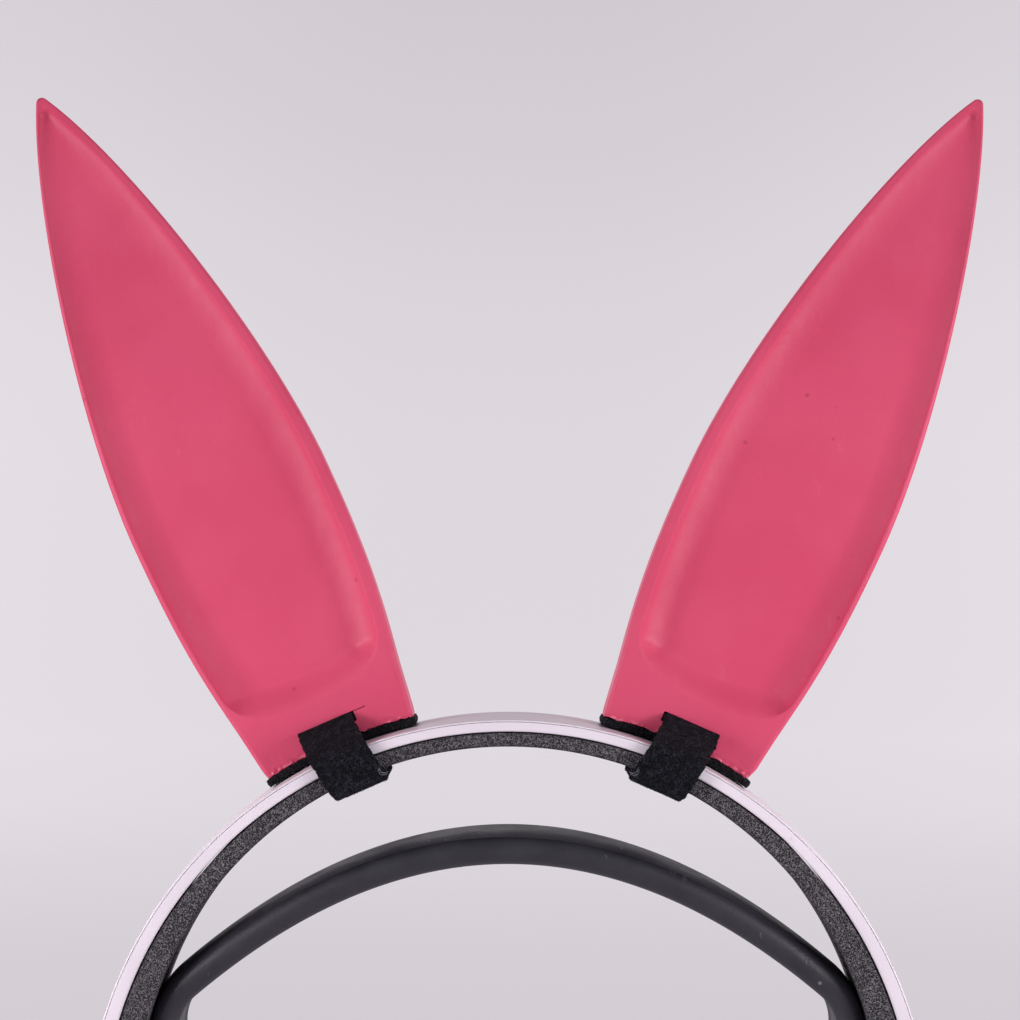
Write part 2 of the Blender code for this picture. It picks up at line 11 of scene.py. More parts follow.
import bmesh
import bpy
import mathutils
import numpy as np
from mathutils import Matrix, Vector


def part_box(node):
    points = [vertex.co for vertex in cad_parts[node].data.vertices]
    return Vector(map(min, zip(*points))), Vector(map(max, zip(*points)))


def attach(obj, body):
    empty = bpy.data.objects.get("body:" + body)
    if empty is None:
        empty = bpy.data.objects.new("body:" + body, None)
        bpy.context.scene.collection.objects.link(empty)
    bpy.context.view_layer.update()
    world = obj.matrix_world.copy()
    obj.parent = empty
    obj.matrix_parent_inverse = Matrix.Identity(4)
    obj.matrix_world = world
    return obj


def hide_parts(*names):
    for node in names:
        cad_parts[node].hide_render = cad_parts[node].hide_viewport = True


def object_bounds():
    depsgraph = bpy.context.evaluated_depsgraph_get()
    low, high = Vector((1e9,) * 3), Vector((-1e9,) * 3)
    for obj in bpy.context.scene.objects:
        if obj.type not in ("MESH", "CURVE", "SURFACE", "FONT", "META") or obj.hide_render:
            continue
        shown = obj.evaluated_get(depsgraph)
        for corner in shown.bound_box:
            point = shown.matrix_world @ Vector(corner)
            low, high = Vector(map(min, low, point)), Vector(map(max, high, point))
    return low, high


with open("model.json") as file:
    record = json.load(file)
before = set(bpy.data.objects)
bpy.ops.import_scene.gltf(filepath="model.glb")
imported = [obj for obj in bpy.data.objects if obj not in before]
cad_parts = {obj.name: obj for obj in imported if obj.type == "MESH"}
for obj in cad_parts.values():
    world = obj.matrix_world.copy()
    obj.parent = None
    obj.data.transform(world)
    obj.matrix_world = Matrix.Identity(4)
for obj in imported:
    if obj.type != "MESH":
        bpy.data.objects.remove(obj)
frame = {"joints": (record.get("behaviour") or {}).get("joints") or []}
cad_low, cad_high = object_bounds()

# %% [markdown]
# ## Driving sizes
# What can be read from the frame is read from it: the arch centre is where the ears' joints lie, and the
# band's width and outer radius are the top skin's box. The rest repeats the design's own sizes, in metres.

# %% Sizes read from the frame
MM = 0.001
joints = {joint["name"]: joint for joint in frame["joints"]}
ARC_Z = joints["ear_left_shift"]["pos_m"][2]
skin_low, skin_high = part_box("top_skin")
HALF_BAND = skin_high.y
PEAK_R = skin_high.z - ARC_Z
GAP = 0.3 * MM
SIDES = (("left", -1), ("right", 1))
print("arch centre z", round(ARC_Z, 5), "half width", round(HALF_BAND, 5), "peak radius", round(PEAK_R, 5))

# %% Sizes of the arch and of what stands on it
SKIN_CROWN = 0.4 * MM
SKIN_EDGE_R = PEAK_R - SKIN_CROWN
FRAME_IN_R = 87.6 * MM
FRAME_IN_RISE = 1.1 * MM
COVER_IN_R = 80.2 * MM
COVER_IN_RISE = 5.2 * MM
COVER_SETBACK = 0.4 * MM
STRIP_T = 0.8 * MM
STRIP_DEPTH = 26.0 * MM
ARCH_STEPS = 360
PAD_T = 1.7 * MM
PAD_IN_R = PEAK_R + GAP
PAD_OUT_R = PAD_IN_R + PAD_T
FOOT_R = PAD_OUT_R + GAP
print("radii: cover", round(COVER_IN_R, 4), "skin edge", round(SKIN_EDGE_R, 4), "ears' feet", round(FOOT_R, 4))

# %% [markdown]
# ## Helpers that make surfaces
# Each piece is a grid of points, rows by columns, that a formula fills as whole arrays. The same few
# functions turn a grid into a closed mesh, smooth it between its real edges and hang it on its body.

# %% Grid to mesh
def grid_faces(rows, columns, wrap_rows, wrap_columns):
    """Corner numbers of the quads between neighbouring points, joined round where a direction wraps."""
    row = np.arange(rows if wrap_rows else rows - 1)[:, None]
    column = np.arange(columns if wrap_columns else columns - 1)[None, :]
    next_row = (row + 1) % rows
    next_column = (column + 1) % columns
    corners = [row * columns + column, row * columns + next_column]
    corners += [next_row * columns + next_column, next_row * columns + column]
    return np.stack(corners, -1).reshape(-1, 4)


def mesh_of(name, points, quads):
    """A mesh from an array of points and an array of four corner numbers per face."""
    mesh = bpy.data.meshes.new(name)
    mesh.vertices.add(len(points))
    mesh.vertices.foreach_set("co", points.astype(np.float32).ravel())
    mesh.loops.add(quads.size)
    mesh.loops.foreach_set("vertex_index", quads.astype(np.int32).ravel())
    mesh.polygons.add(len(quads))
    mesh.polygons.foreach_set("loop_start", np.arange(len(quads), dtype=np.int32) * 4)
    mesh.update(calc_edges=True)
    mesh.validate()
    return mesh


WELD = 1e-7
SHARP_ANGLE = 34.0


def close_mesh(mesh):
    """Welds poles and seams, fills ends, turns every face outwards and smooths between real edges."""
    work = bmesh.new()
    work.from_mesh(mesh)
    bmesh.ops.remove_doubles(work, verts=work.verts, dist=WELD)
    open_edges = [edge for edge in work.edges if len(edge.link_faces) == 1]
    if open_edges:
        bmesh.ops.holes_fill(work, edges=open_edges, sides=0)
    bmesh.ops.recalc_face_normals(work, faces=work.faces)
    work.to_mesh(mesh)
    work.free()
    mesh.shade_smooth()
    mesh.set_sharp_from_angle(angle=math.radians(SHARP_ANGLE))
    return mesh


def object_of(name, mesh):
    obj = bpy.data.objects.new(name, mesh)
    bpy.context.scene.collection.objects.link(obj)
    return obj


def grid_object(name, grid, wrap_rows=False, wrap_columns=False):
    """A closed object from a grid of points, shaped rows by columns by three."""
    rows, columns = grid.shape[:2]
    mesh = mesh_of(name, grid.reshape(-1, 3), grid_faces(rows, columns, wrap_rows, wrap_columns))
    return object_of(name, close_mesh(mesh))


def place(obj, body, slot, finish, *nodes):
    """Gives a piece its finish and its body, and hides the solids that it stands for. The slot argument is not
    used.
    """
    obj.data.materials.clear()
    obj.data.materials.append(finish)
    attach(obj, body)
    if nodes:
        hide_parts(*nodes)
    print(obj.name, "on", body, "with", len(obj.data.polygons), "faces")
    return obj


print("a 4 by 5 grid, closed one way, has", len(grid_faces(4, 5, False, True)), "quads")


# %% Outlines and noise
def rounded_outline(corners, steps=5):
    """A closed outline of (x, y, rise, radius) corners, each turned into an arc of its own radius.

    The arc runs between the points where a circle of that radius touches both sides of the corner.
    """
    out = []
    count = len(corners)
    for i, (x, y, rise, radius) in enumerate(corners):
        here = np.array([x, y])
        back = np.array(corners[i - 1][:2]) - here
        ahead = np.array(corners[(i + 1) % count][:2]) - here
        back = back / np.linalg.norm(back)
        ahead = ahead / np.linalg.norm(ahead)
        half = math.acos(max(-1.0, min(1.0, float(back @ ahead)))) / 2
        middle = (back + ahead) / np.linalg.norm(back + ahead)
        centre = here + middle * radius / math.sin(half)
        start = here + back * radius / math.tan(half) - centre
        end = here + ahead * radius / math.tan(half) - centre
        sweep = math.pi - 2 * half
        t = np.linspace(0.0, 1.0, steps + 1)[:, None]
        arc = centre + (start * np.sin((1 - t) * sweep) + end * np.sin(t * sweep)) / math.sin(sweep)
        out.append(np.column_stack([arc, np.full(steps + 1, rise)]))
    return np.concatenate(out)


def with_more_points(outline, spacing, closed=True):
    """The same outline with extra points on its long stretches, so that none is longer than this."""
    ring = np.vstack([outline, outline[:1]]) if closed else outline
    steps = np.linalg.norm(np.diff(ring[:, :2], axis=0), axis=1)
    extra = np.maximum(np.ceil(steps / spacing).astype(int), 1)
    at = np.concatenate([np.arange(n) / n + i for i, n in enumerate(extra)])
    if not closed:
        at = np.append(at, len(steps))
    whole = np.arange(len(ring))
    return np.column_stack([np.interp(at, whole, ring[:, k]) for k in range(ring.shape[1])])


def ripple(points, size, seed, waves=28):
    """Smooth random heights of about -1 to 1: sines of about this wavelength, in random directions, added."""
    random = np.random.default_rng(seed)
    directions = random.normal(size=(3, waves))
    directions /= np.linalg.norm(directions, axis=0)
    directions *= 2 * math.pi / (size * random.uniform(0.7, 1.6, waves))
    phases = random.uniform(0, 2 * math.pi, waves)
    return np.sin(points @ directions + phases).sum(-1) / math.sqrt(2 * waves)


def smooth_step(t):
    """0 below 0, 1 above 1, and three t squared minus two t cubed in between."""
    t = np.clip(t, 0.0, 1.0)
    return t * t * (3 - 2 * t)


wave = ripple(np.linspace(0, 1, 500)[:, None] * np.ones(3), 0.1, 1)
print("a ripple runs from", round(wave.min(), 2), "to", round(wave.max(), 2))


# %% Cutting, joining and blocks
def combine(obj, other, operation):
    """Cuts the other object out of this one, or joins it on, for good, and removes the other."""
    step = obj.modifiers.new("combine", "BOOLEAN")
    step.object = other
    step.operation = operation
    step.solver = "EXACT"
    bpy.context.view_layer.update()
    graph = bpy.context.evaluated_depsgraph_get()
    made = bpy.data.meshes.new_from_object(obj.evaluated_get(graph))
    obj.modifiers.clear()
    obj.data = made
    made.shade_smooth()
    made.set_sharp_from_angle(angle=math.radians(SHARP_ANGLE))
    bpy.data.objects.remove(other, do_unlink=True)


def cut(obj, cutter):
    combine(obj, cutter, "DIFFERENCE")


def rounded_block(name, low, high, radius, steps=5):
    """A block with rounded edges: rounded rectangles stacked in Z, drawn in at both ends by a quarter circle."""
    low = np.array(low)
    high = np.array(high)
    turn = np.linspace(0, math.pi / 2, steps + 1)
    inset = radius * (1 - np.sin(turn))
    height = radius * (1 - np.cos(turn))
    insets = np.concatenate([[radius], inset, inset[::-1], [radius]])
    heights = np.concatenate([[low[2]], low[2] + height, high[2] - height[::-1], [high[2]]])
    middle = (low[:2] + high[:2]) / 2
    half = (high[:2] - low[:2]) / 2
    corners = []
    for sign_x, sign_y, start in ((1, 1, 0), (-1, 1, 1), (-1, -1, 2), (1, -1, 3)):
        angle = start * math.pi / 2 + turn
        corner_x, corner_y = np.array([sign_x, sign_y]) * (half - radius)
        columns = [np.full(steps + 1, corner_x), np.full(steps + 1, corner_y), np.cos(angle), np.sin(angle)]
        corners.append(np.column_stack(columns))
    ring = np.concatenate(corners)
    shrink = radius - insets[:, None, None]
    flat = ring[None, :, :2] + ring[None, :, 2:] * shrink
    level = np.broadcast_to(heights[:, None, None], flat.shape[:2] + (1,))
    return grid_object(name, np.concatenate([flat + middle, level], -1), wrap_columns=True)


print("points closer than", WELD, "m are welded; edges over", SHARP_ANGLE, "degrees stay sharp")

# %% [markdown]
# ## Finishes
# A finish is a Principled BSDF fed by noise on Object coordinates, which stay on the piece when it moves.
# Painted images could do it too, but noise needs no unwrapping and stays sharp close up. A few short
# functions make the nodes, so that each finish below reads as a list of its layers.

# %% Node helpers
def node(tree, kind, values=None, **settings):
    """A node with its settings, and its unlinked inputs set by name or by number."""
    made = tree.nodes.new(kind)
    for key, value in settings.items():
        setattr(made, key, value)
    for key, value in (values or {}).items():
        made.inputs[key].default_value = value
    return made


def maths(tree, operation, a, b=None, clamp=False):
    """One Math node; a and b are sockets or numbers."""
    made = node(tree, "ShaderNodeMath", operation=operation, use_clamp=clamp)
    for slot_number, value in enumerate((a, b)):
        if isinstance(value, bpy.types.NodeSocket):
            tree.links.new(value, made.inputs[slot_number])
        elif value is not None:
            made.inputs[slot_number].default_value = value
    return made.outputs[0]


def between(tree, value, low, high, to_low=0.0, to_high=1.0):
    """Value carried from one span to another along a smooth step, and held at its ends."""
    made = node(tree, "ShaderNodeMapRange", interpolation_type="SMOOTHSTEP")
    tree.links.new(value, made.inputs["Value"])
    for key, number in (("From Min", low), ("From Max", high), ("To Min", to_low), ("To Max", to_high)):
        made.inputs[key].default_value = number
    return made.outputs["Result"]


def mixed(tree, share, a, b):
    """Colour a where share is 0 and colour b where it is 1."""
    made = node(tree, "ShaderNodeMix", data_type="RGBA")
    tree.links.new(share, made.inputs["Factor"])
    for key, value in (("A", a), ("B", b)):
        target = [s for s in made.inputs if s.name == key and s.type == "RGBA"][0]
        if isinstance(value, bpy.types.NodeSocket):
            tree.links.new(value, target)
        else:
            target.default_value = (*value, 1.0)
    return [s for s in made.outputs if s.type == "RGBA"][0]


def noise(tree, coordinates, scale, detail=2.0, roughness=0.5):
    """Noise of about 0.3 to 0.7; scale is the number of lumps in a metre."""
    made = node(tree, "ShaderNodeTexNoise", {"Scale": scale, "Detail": detail, "Roughness": roughness})
    tree.links.new(coordinates, made.inputs["Vector"])
    return made.outputs["Fac"]


def new_group(name, inputs, outputs):
    """A node group; inputs are (name, kind, value) and outputs are (name, kind)."""
    group = bpy.data.node_groups.new(name, "ShaderNodeTree")
    for label, kind, value in inputs:
        socket = group.interface.new_socket(label, in_out="INPUT", socket_type=kind)
        if value is not None:
            socket.default_value = value
    for label, kind in outputs:
        group.interface.new_socket(label, in_out="OUTPUT", socket_type=kind)
    return group, group.nodes.new("NodeGroupInput"), group.nodes.new("NodeGroupOutput")


print("node helpers ready")

# %% [markdown]
# Two effects are used by several finishes, so they are node groups: a fine grain that gives a height and a
# mask, and scuffs that give masks of sparse marks. Each material places them with its own sizes.

# %% Shared effects
FLOAT = "NodeSocketFloat"


def make_grain_group():
    """Worm-like grain: a noise is folded about its middle, so its contour lines become narrow ridges."""
    group, given, result = new_group(
        "worm_grain",
        [("Vector", "NodeSocketVector", None), ("Scale", FLOAT, 900.0), ("Ridge", FLOAT, 0.1)],
        [("Height", FLOAT), ("Mask", FLOAT)],
    )
    base = node(group, "ShaderNodeTexNoise", {"Detail": 1.2, "Roughness": 0.6, "Distortion": 0.35})
    group.links.new(given.outputs["Vector"], base.inputs["Vector"])
    group.links.new(given.outputs["Scale"], base.inputs["Scale"])
    folded = maths(group, "ABSOLUTE", maths(group, "SUBTRACT", base.outputs["Fac"], 0.5))
    ridge = maths(group, "DIVIDE", folded, given.outputs["Ridge"], clamp=True)
    height = maths(group, "SUBTRACT", 1.0, ridge)
    group.links.new(height, result.inputs["Height"])
    group.links.new(maths(group, "POWER", height, 2.0), result.inputs["Mask"])
    return group


def make_scuff_group():
    """Sparse marks: short stretched noise and small specks, each kept only where it is highest."""
    group, given, result = new_group(
        "scuffs",
        [("Vector", "NodeSocketVector", None), ("Scale", FLOAT, 120.0), ("Amount", FLOAT, 0.3)],
        [("Marks", FLOAT), ("Specks", FLOAT)],
    )
    stretch = node(group, "ShaderNodeMapping", {"Scale": (1.0, 0.16, 0.45), "Rotation": (0.4, 0.9, 0.5)})
    group.links.new(given.outputs["Vector"], stretch.inputs["Vector"])
    marks = node(group, "ShaderNodeTexNoise", {"Detail": 3.0, "Roughness": 0.62})
    group.links.new(stretch.outputs["Vector"], marks.inputs["Vector"])
    group.links.new(maths(group, "MULTIPLY", given.outputs["Scale"], 3.0), marks.inputs["Scale"])
    patch = node(group, "ShaderNodeTexNoise", {"Detail": 1.0})
    group.links.new(given.outputs["Vector"], patch.inputs["Vector"])
    group.links.new(given.outputs["Scale"], patch.inputs["Scale"])
    sharp = between(group, marks.outputs["Fac"], 0.64, 0.72)
    near = between(group, patch.outputs["Fac"], 0.5, 0.62)
    shown = maths(group, "MULTIPLY", maths(group, "MULTIPLY", sharp, near), given.outputs["Amount"])
    group.links.new(shown, result.inputs["Marks"])
    cells = node(group, "ShaderNodeTexVoronoi", feature="F1")
    group.links.new(given.outputs["Vector"], cells.inputs["Vector"])
    group.links.new(maths(group, "MULTIPLY", given.outputs["Scale"], 1.6), cells.inputs["Scale"])
    dots = between(group, cells.outputs["Distance"], 0.05, 0.09, 1.0, 0.0)
    chosen = node(group, "ShaderNodeSeparateColor")
    group.links.new(cells.outputs["Color"], chosen.inputs[0])
    some = maths(group, "GREATER_THAN", chosen.outputs[0], 0.8)
    group.links.new(maths(group, "MULTIPLY", dots, some), result.inputs["Specks"])
    return group


worm_grain = make_grain_group()
scuffs = make_scuff_group()


def use_group(tree, group, coordinates, **values):
    """Places a group in a material with its own values, and gives its outputs."""
    made = node(tree, "ShaderNodeGroup", node_tree=group)
    tree.links.new(coordinates, made.inputs["Vector"])
    for key, value in values.items():
        made.inputs[key].default_value = value
    return made.outputs


def new_material(name, **sockets):
    """A material, its tree, shader and Object coordinates, with even values set on the shader."""
    made = bpy.data.materials.new(name)
    made.use_nodes = True
    tree = made.node_tree
    shader = tree.nodes["Principled BSDF"]
    for key, value in sockets.items():
        shader.inputs[key.replace("_", " ")].default_value = value
    return made, tree, shader, node(tree, "ShaderNodeTexCoord").outputs["Object"]


def bump(tree, shader, height, strength, distance):
    """Feeds a height to the shader's Normal; distance is the height of a full step in metres."""
    made = node(tree, "ShaderNodeBump", {"Strength": strength, "Distance": distance})
    tree.links.new(height, made.inputs["Height"])
    tree.links.new(made.outputs["Normal"], shader.inputs["Normal"])


print("node groups:", worm_grain.name, scuffs.name)

# %% [markdown]
# ### Pink ears
# The ears are a smoothed print with a satin coat: nearly one pink, a few dark flecks, and pale flecks along
# the sawn foot, which are painted highlights on its chipped edge. The chips could be modelled one by one. Here
# noise makes the painted highlights, and the distance from the arch's axis keeps them at the foot, which is an
# arc about that axis.


# %% Pink satin print
def arch_radius(tree, place_at):
    """Distance from the arch's axis, which runs front to back through the ears' joints."""
    parts = node(tree, "ShaderNodeSeparateXYZ")
    tree.links.new(place_at, parts.inputs[0])
    across = maths(tree, "POWER", parts.outputs["X"], 2.0)
    up = maths(tree, "POWER", maths(tree, "SUBTRACT", parts.outputs["Z"], ARC_Z), 2.0)
    return maths(tree, "SQRT", maths(tree, "ADD", across, up))


def ear_finish():
    """Satin pink, a little deeper in broad clouds, with a fine tooth, a few dark flecks and painted highlights
    along the chipped foot.
    """
    made, tree, shader, place_at = new_material("ear_pink", Specular_IOR_Level=0.3)
    clouds = noise(tree, place_at, 26.0, 3.0, 0.55)
    tone = mixed(tree, between(tree, clouds, 0.35, 0.65), (0.66, 0.068, 0.147), (0.70, 0.082, 0.167))
    marks = use_group(tree, scuffs, place_at, Scale=95.0, Amount=0.1)
    worn = mixed(tree, marks["Marks"], tone, (0.78, 0.2, 0.28))
    flecked = mixed(tree, maths(tree, "MULTIPLY", marks["Specks"], 0.4), worn, (0.3, 0.02, 0.045))
    # Painted highlight: pale pink flecks at the foot stand in for light caught by its chipped edge.
    near_foot = between(tree, arch_radius(tree, place_at), FOOT_R + 0.2 * MM, FOOT_R + 0.8 * MM, 1.0, 0.0)
    foot_highlights = between(tree, noise(tree, place_at, 700.0, 3.0), 0.5, 0.64)
    flecked = mixed(tree, maths(tree, "MULTIPLY", near_foot, foot_highlights), flecked, (0.85, 0.2, 0.3))
    tree.links.new(flecked, shader.inputs["Base Color"])
    sheen = between(tree, noise(tree, place_at, 160.0, 4.0), 0.3, 0.7, 0.4, 0.5)
    tree.links.new(sheen, shader.inputs["Roughness"])
    tooth = noise(tree, place_at, 2600.0, 2.0, 0.6)
    soft = noise(tree, place_at, 210.0, 2.0)
    bump(tree, shader, maths(tree, "ADD", tooth, maths(tree, "MULTIPLY", soft, 4.0)), 0.35, 0.00012)
    return made


ear_pink = ear_finish()
print(ear_pink.name, "has", len(ear_pink.node_tree.nodes), "nodes")

# %% [markdown]
# ### White shell
# The outer layers are moulded plastic, off-white with a lavender cast and a soft gloss. The real one is
# clean, so scuffs are few: they make it duller where they lie.


# %% Lavender-white shell
def shell_finish():
    """Smooth moulded plastic, off-white with a lavender cast, and a few rubbed marks that are duller."""
    made, tree, shader, place_at = new_material("shell_white", Specular_IOR_Level=0.5)
    clouds = noise(tree, place_at, 40.0, 2.0)
    tone = mixed(tree, between(tree, clouds, 0.35, 0.65), (0.78, 0.71, 0.785), (0.83, 0.76, 0.83))
    marks = use_group(tree, scuffs, place_at, Scale=90.0, Amount=0.5)
    worn = mixed(tree, marks["Marks"], tone, (0.44, 0.39, 0.46))
    tree.links.new(worn, shader.inputs["Base Color"])
    tree.links.new(between(tree, marks["Marks"], 0.0, 0.5, 0.36, 0.6), shader.inputs["Roughness"])
    bump(tree, shader, noise(tree, place_at, 1500.0, 2.0), 0.12, 0.0001)
    return made


shell_white = shell_finish()
print(shell_white.name, "has", len(shell_white.node_tree.nodes), "nodes")

# %% [markdown]
# ### Grained cover
# The head side is dark soft-touch rubber with the raised, worm-like grain of a moulded grip. Real ridges
# this fine would need millions of faces, so bump gives their height, and the same mask paints them greyer: a
# painted highlight where they catch the light.


# %% Grained cover
def cover_finish():
    """Dark moulded rubber with a raised worm grain; its ridges are painted greyer as a highlight where they
    catch the light.
    """
    made, tree, shader, place_at = new_material("cover_grain", Specular_IOR_Level=0.4)
    grain = use_group(tree, worm_grain, place_at, Scale=1900.0, Ridge=0.12)
    clouds = noise(tree, place_at, 70.0, 2.0)
    cloudy = between(tree, clouds, 0.35, 0.65)
    ground = mixed(tree, cloudy, (0.007, 0.0065, 0.009), (0.012, 0.011, 0.014))
    # Painted highlight: the ridges' mask mixes in a grey where the raised grain would catch the light.
    tree.links.new(mixed(tree, grain["Mask"], ground, (0.21, 0.19, 0.215)), shader.inputs["Base Color"])
    tree.links.new(between(tree, grain["Height"], 0.0, 1.0, 0.72, 0.5), shader.inputs["Roughness"])
    bump(tree, shader, grain["Height"], 1.0, 0.00016)
    return made


cover_grain = cover_finish()
print(cover_grain.name, "has", len(cover_grain.node_tree.nodes), "nodes")

# %% [markdown]
# ### Rubber and black plastic
# The suspension strap, the sliders and the caps are all matte black mouldings that differ in depth of
# colour and in gloss, so one function makes the three from their two tones and a roughness.


# %% Strap rubber
def rubber_finish(name, low, high, roughness):
    """Matte rubber with a faint bloom in clouds, a fine tooth and small pale scuffs."""
    made, tree, shader, place_at = new_material(name, Specular_IOR_Level=0.5)
    bloom = between(tree, noise(tree, place_at, 90.0, 4.0, 0.6), 0.35, 0.7)
    tone = mixed(tree, bloom, low, high)
    marks = use_group(tree, scuffs, place_at, Scale=110.0, Amount=0.55)
    worn = mixed(tree, marks["Marks"], tone, (0.2, 0.19, 0.22))
    dusty = mixed(tree, maths(tree, "MULTIPLY", marks["Specks"], 0.35), worn, (0.4, 0.39, 0.42))
    tree.links.new(dusty, shader.inputs["Base Color"])
    duller = between(tree, bloom, 0.0, 1.0, roughness, roughness + 0.1)
    tree.links.new(duller, shader.inputs["Roughness"])
    bump(tree, shader, noise(tree, place_at, 1800.0, 2.0, 0.6), 0.6, 0.00014)
    return made


strap_rubber = rubber_finish("strap_rubber", (0.015, 0.014, 0.022), (0.022, 0.021, 0.03), 0.48)
slider_black = rubber_finish("slider_black", (0.02, 0.02, 0.022), (0.03, 0.03, 0.033), 0.4)
cap_dark = rubber_finish("cap_dark", (0.026, 0.025, 0.029), (0.036, 0.035, 0.04), 0.48)
print("rubber finishes:", strap_rubber.name, slider_black.name, cap_dark.name)

# %% [markdown]
# ### Pile, hooks and felt
# Loop tape and felt are tangles of fine fibres. Hair particles would be heavy and don't export, so the
# finish shows the tangle as folded noise in colour and height, and separate short fibres are made later
# where the outline should look furry.


# %% Pile, hooks and felt
def pile_finish(name, dark, light, sheen, scale, depth):
    """Short brushed fibres: a tangle of folded noise, lighter on its strands, with a soft sheen."""
    made, tree, shader, place_at = new_material(
        name, Roughness=0.95, Specular_IOR_Level=0.15, Sheen_Weight=sheen, Sheen_Roughness=0.45
    )
    shader.inputs["Sheen Tint"].default_value = (0.55, 0.6, 0.75, 1.0)
    strands = use_group(tree, worm_grain, place_at, Scale=scale, Ridge=0.12)
    lumps = between(tree, noise(tree, place_at, scale * 0.3, 3.0), 0.35, 0.7)
    share = maths(tree, "MULTIPLY", strands["Mask"], maths(tree, "ADD", lumps, 0.25), clamp=True)
    tree.links.new(mixed(tree, share, dark, light), shader.inputs["Base Color"])
    height = maths(tree, "ADD", strands["Height"], maths(tree, "MULTIPLY", lumps, 1.5))
    bump(tree, shader, height, 0.9, depth)
    return made


loop_pile = pile_finish("loop_pile", (0.002, 0.0022, 0.0038), (0.042, 0.044, 0.06), 0.03, 2000.0, 0.0003)
hook_tape = pile_finish("hook_tape", (0.02, 0.02, 0.023), (0.11, 0.11, 0.125), 0.05, 1900.0, 0.0003)
pad_felt = pile_finish("pad_felt", (0.006, 0.0055, 0.007), (0.035, 0.033, 0.037), 0.1, 1400.0, 0.00035)
edge_thread = pile_finish("edge_thread", (0.12, 0.12, 0.14), (0.35, 0.35, 0.4), 0.1, 2400.0, 0.0001)
print("fibre finishes:", loop_pile.name, hook_tape.name, pad_felt.name, edge_thread.name)

# %% [markdown]
# ### Steel
# The rivets and the hidden spring strip are brushed steel. Noise squeezed across the strip gives the fine
# lines that a brush leaves.


# %% Steel
def steel_finish():
    """Brushed steel: the same noise drawn out along the part, in colour, roughness and height."""
    made, tree, shader, place_at = new_material("steel", Metallic=1.0)
    drawn = node(tree, "ShaderNodeMapping", {"Scale": (3.0, 0.1, 3.0)})
    tree.links.new(place_at, drawn.inputs["Vector"])
    lines = noise(tree, drawn.outputs["Vector"], 900.0, 3.0)
    tone = mixed(tree, lines, (0.42, 0.42, 0.44), (0.62, 0.62, 0.64))
    tree.links.new(tone, shader.inputs["Base Color"])
    tree.links.new(between(tree, lines, 0.3, 0.7, 0.28, 0.42), shader.inputs["Roughness"])
    bump(tree, shader, lines, 0.15, 0.0001)
    return made


steel = steel_finish()
print("finishes:", len(bpy.data.materials))

# %% [markdown]
# ## The arch
# The headband is four layers carried round a half circle: a thin white skin, a white frame, a grained dark
# cover on the head side, and a spring strip hidden between them. A curve with a bevel could make them, but
# then a layer could not get thinner towards the top. Here each is one section, a rounded outline of
# distance from front to back against radius, and its inner radius grows as the sine of the angle.


# %% Carry a section round the arch
def arch_piece(name, outline, crown=0.0, crown_above=1.0):
    """Points at (radius + rise sine, angle): rise is the part of a radius that grows towards the top.

    The skin's outer face is also crowned: it falls from the middle to the edges as y squared.
    """
    theta = np.linspace(0.0, math.pi, ARCH_STEPS + 1)[:, None]
    y, r, rise = outline.T
    lifted = r + crown * (1 - (y / HALF_BAND) ** 2) * (r > crown_above)
    radius = lifted + rise * np.sin(theta)
    grid = np.stack([radius * np.cos(theta), y + 0 * theta, ARC_Z + radius * np.sin(theta)], -1)
    return grid_object(name, grid, wrap_columns=True)


def mirrored(half):
    """A full outline from its +Y half, listed from the inner face outwards."""
    return half + [(-y, r, rise, radius) for y, r, rise, radius in reversed(half)]


def section_of(half, spacing):
    """A closed, rounded section from its +Y half, with points no further apart than this."""
    return with_more_points(rounded_outline(mirrored(half)), spacing)


SEAM = 0.09 * MM
SKIN_EDGE_SHOWN = 0.35 * MM
skin_in = SKIN_EDGE_R - SKIN_EDGE_SHOWN
skin_half = [(HALF_BAND, skin_in, 0, 0.05 * MM), (HALF_BAND, SKIN_EDGE_R, 0, 0.22 * MM)]
crown_above = SKIN_EDGE_R - 0.2 * MM
top_skin = arch_piece("top_skin_shell", section_of(skin_half, 1.2 * MM), SKIN_CROWN, crown_above)
place(top_skin, "band", "shell", shell_white, "top_skin")

frame_half = [(HALF_BAND, FRAME_IN_R, FRAME_IN_RISE, 0.5 * MM)]
frame_half += [(HALF_BAND, skin_in - SEAM, 0, 0.06 * MM)]
outer_frame = arch_piece("outer_frame_shell", section_of(frame_half, 2.5 * MM))
place(outer_frame, "band", "shell", shell_white, "outer_frame")

# %% Dark cover and spring strip
cover_y = HALF_BAND - COVER_SETBACK
cover_top = FRAME_IN_R - GAP
groove_y = STRIP_DEPTH / 2 + GAP
groove_r = cover_top - STRIP_T - GAP
cover_half = [(cover_y, COVER_IN_R, COVER_IN_RISE, 1.0 * MM)]
cover_half += [(cover_y, cover_top, FRAME_IN_RISE, 0.45 * MM)]
cover_half += [(groove_y, r, FRAME_IN_RISE, 0.1 * MM) for r in (cover_top, groove_r)]
inner_cover = arch_piece("grained_cover", section_of(cover_half, 1.5 * MM))
print("groove for the spring strip", round(2 * groove_y, 4), "m wide")

strip_half = [(STRIP_DEPTH / 2, r, FRAME_IN_RISE, 0.15 * MM) for r in (cover_top - STRIP_T, cover_top)]
spring = arch_piece("spring_steel_strip", section_of(strip_half, 4.0 * MM))
place(spring, "band", "steel", steel, "spring_strip")

# %% [markdown]
# ## Sliders, rivets and end caps
# The suspension strap hangs in two sliders whose tongues run in slots of the cover. These are guessed
# parts, out of sight in use, so they stay plain: rounded blocks, a turned rivet and a moulded cap.

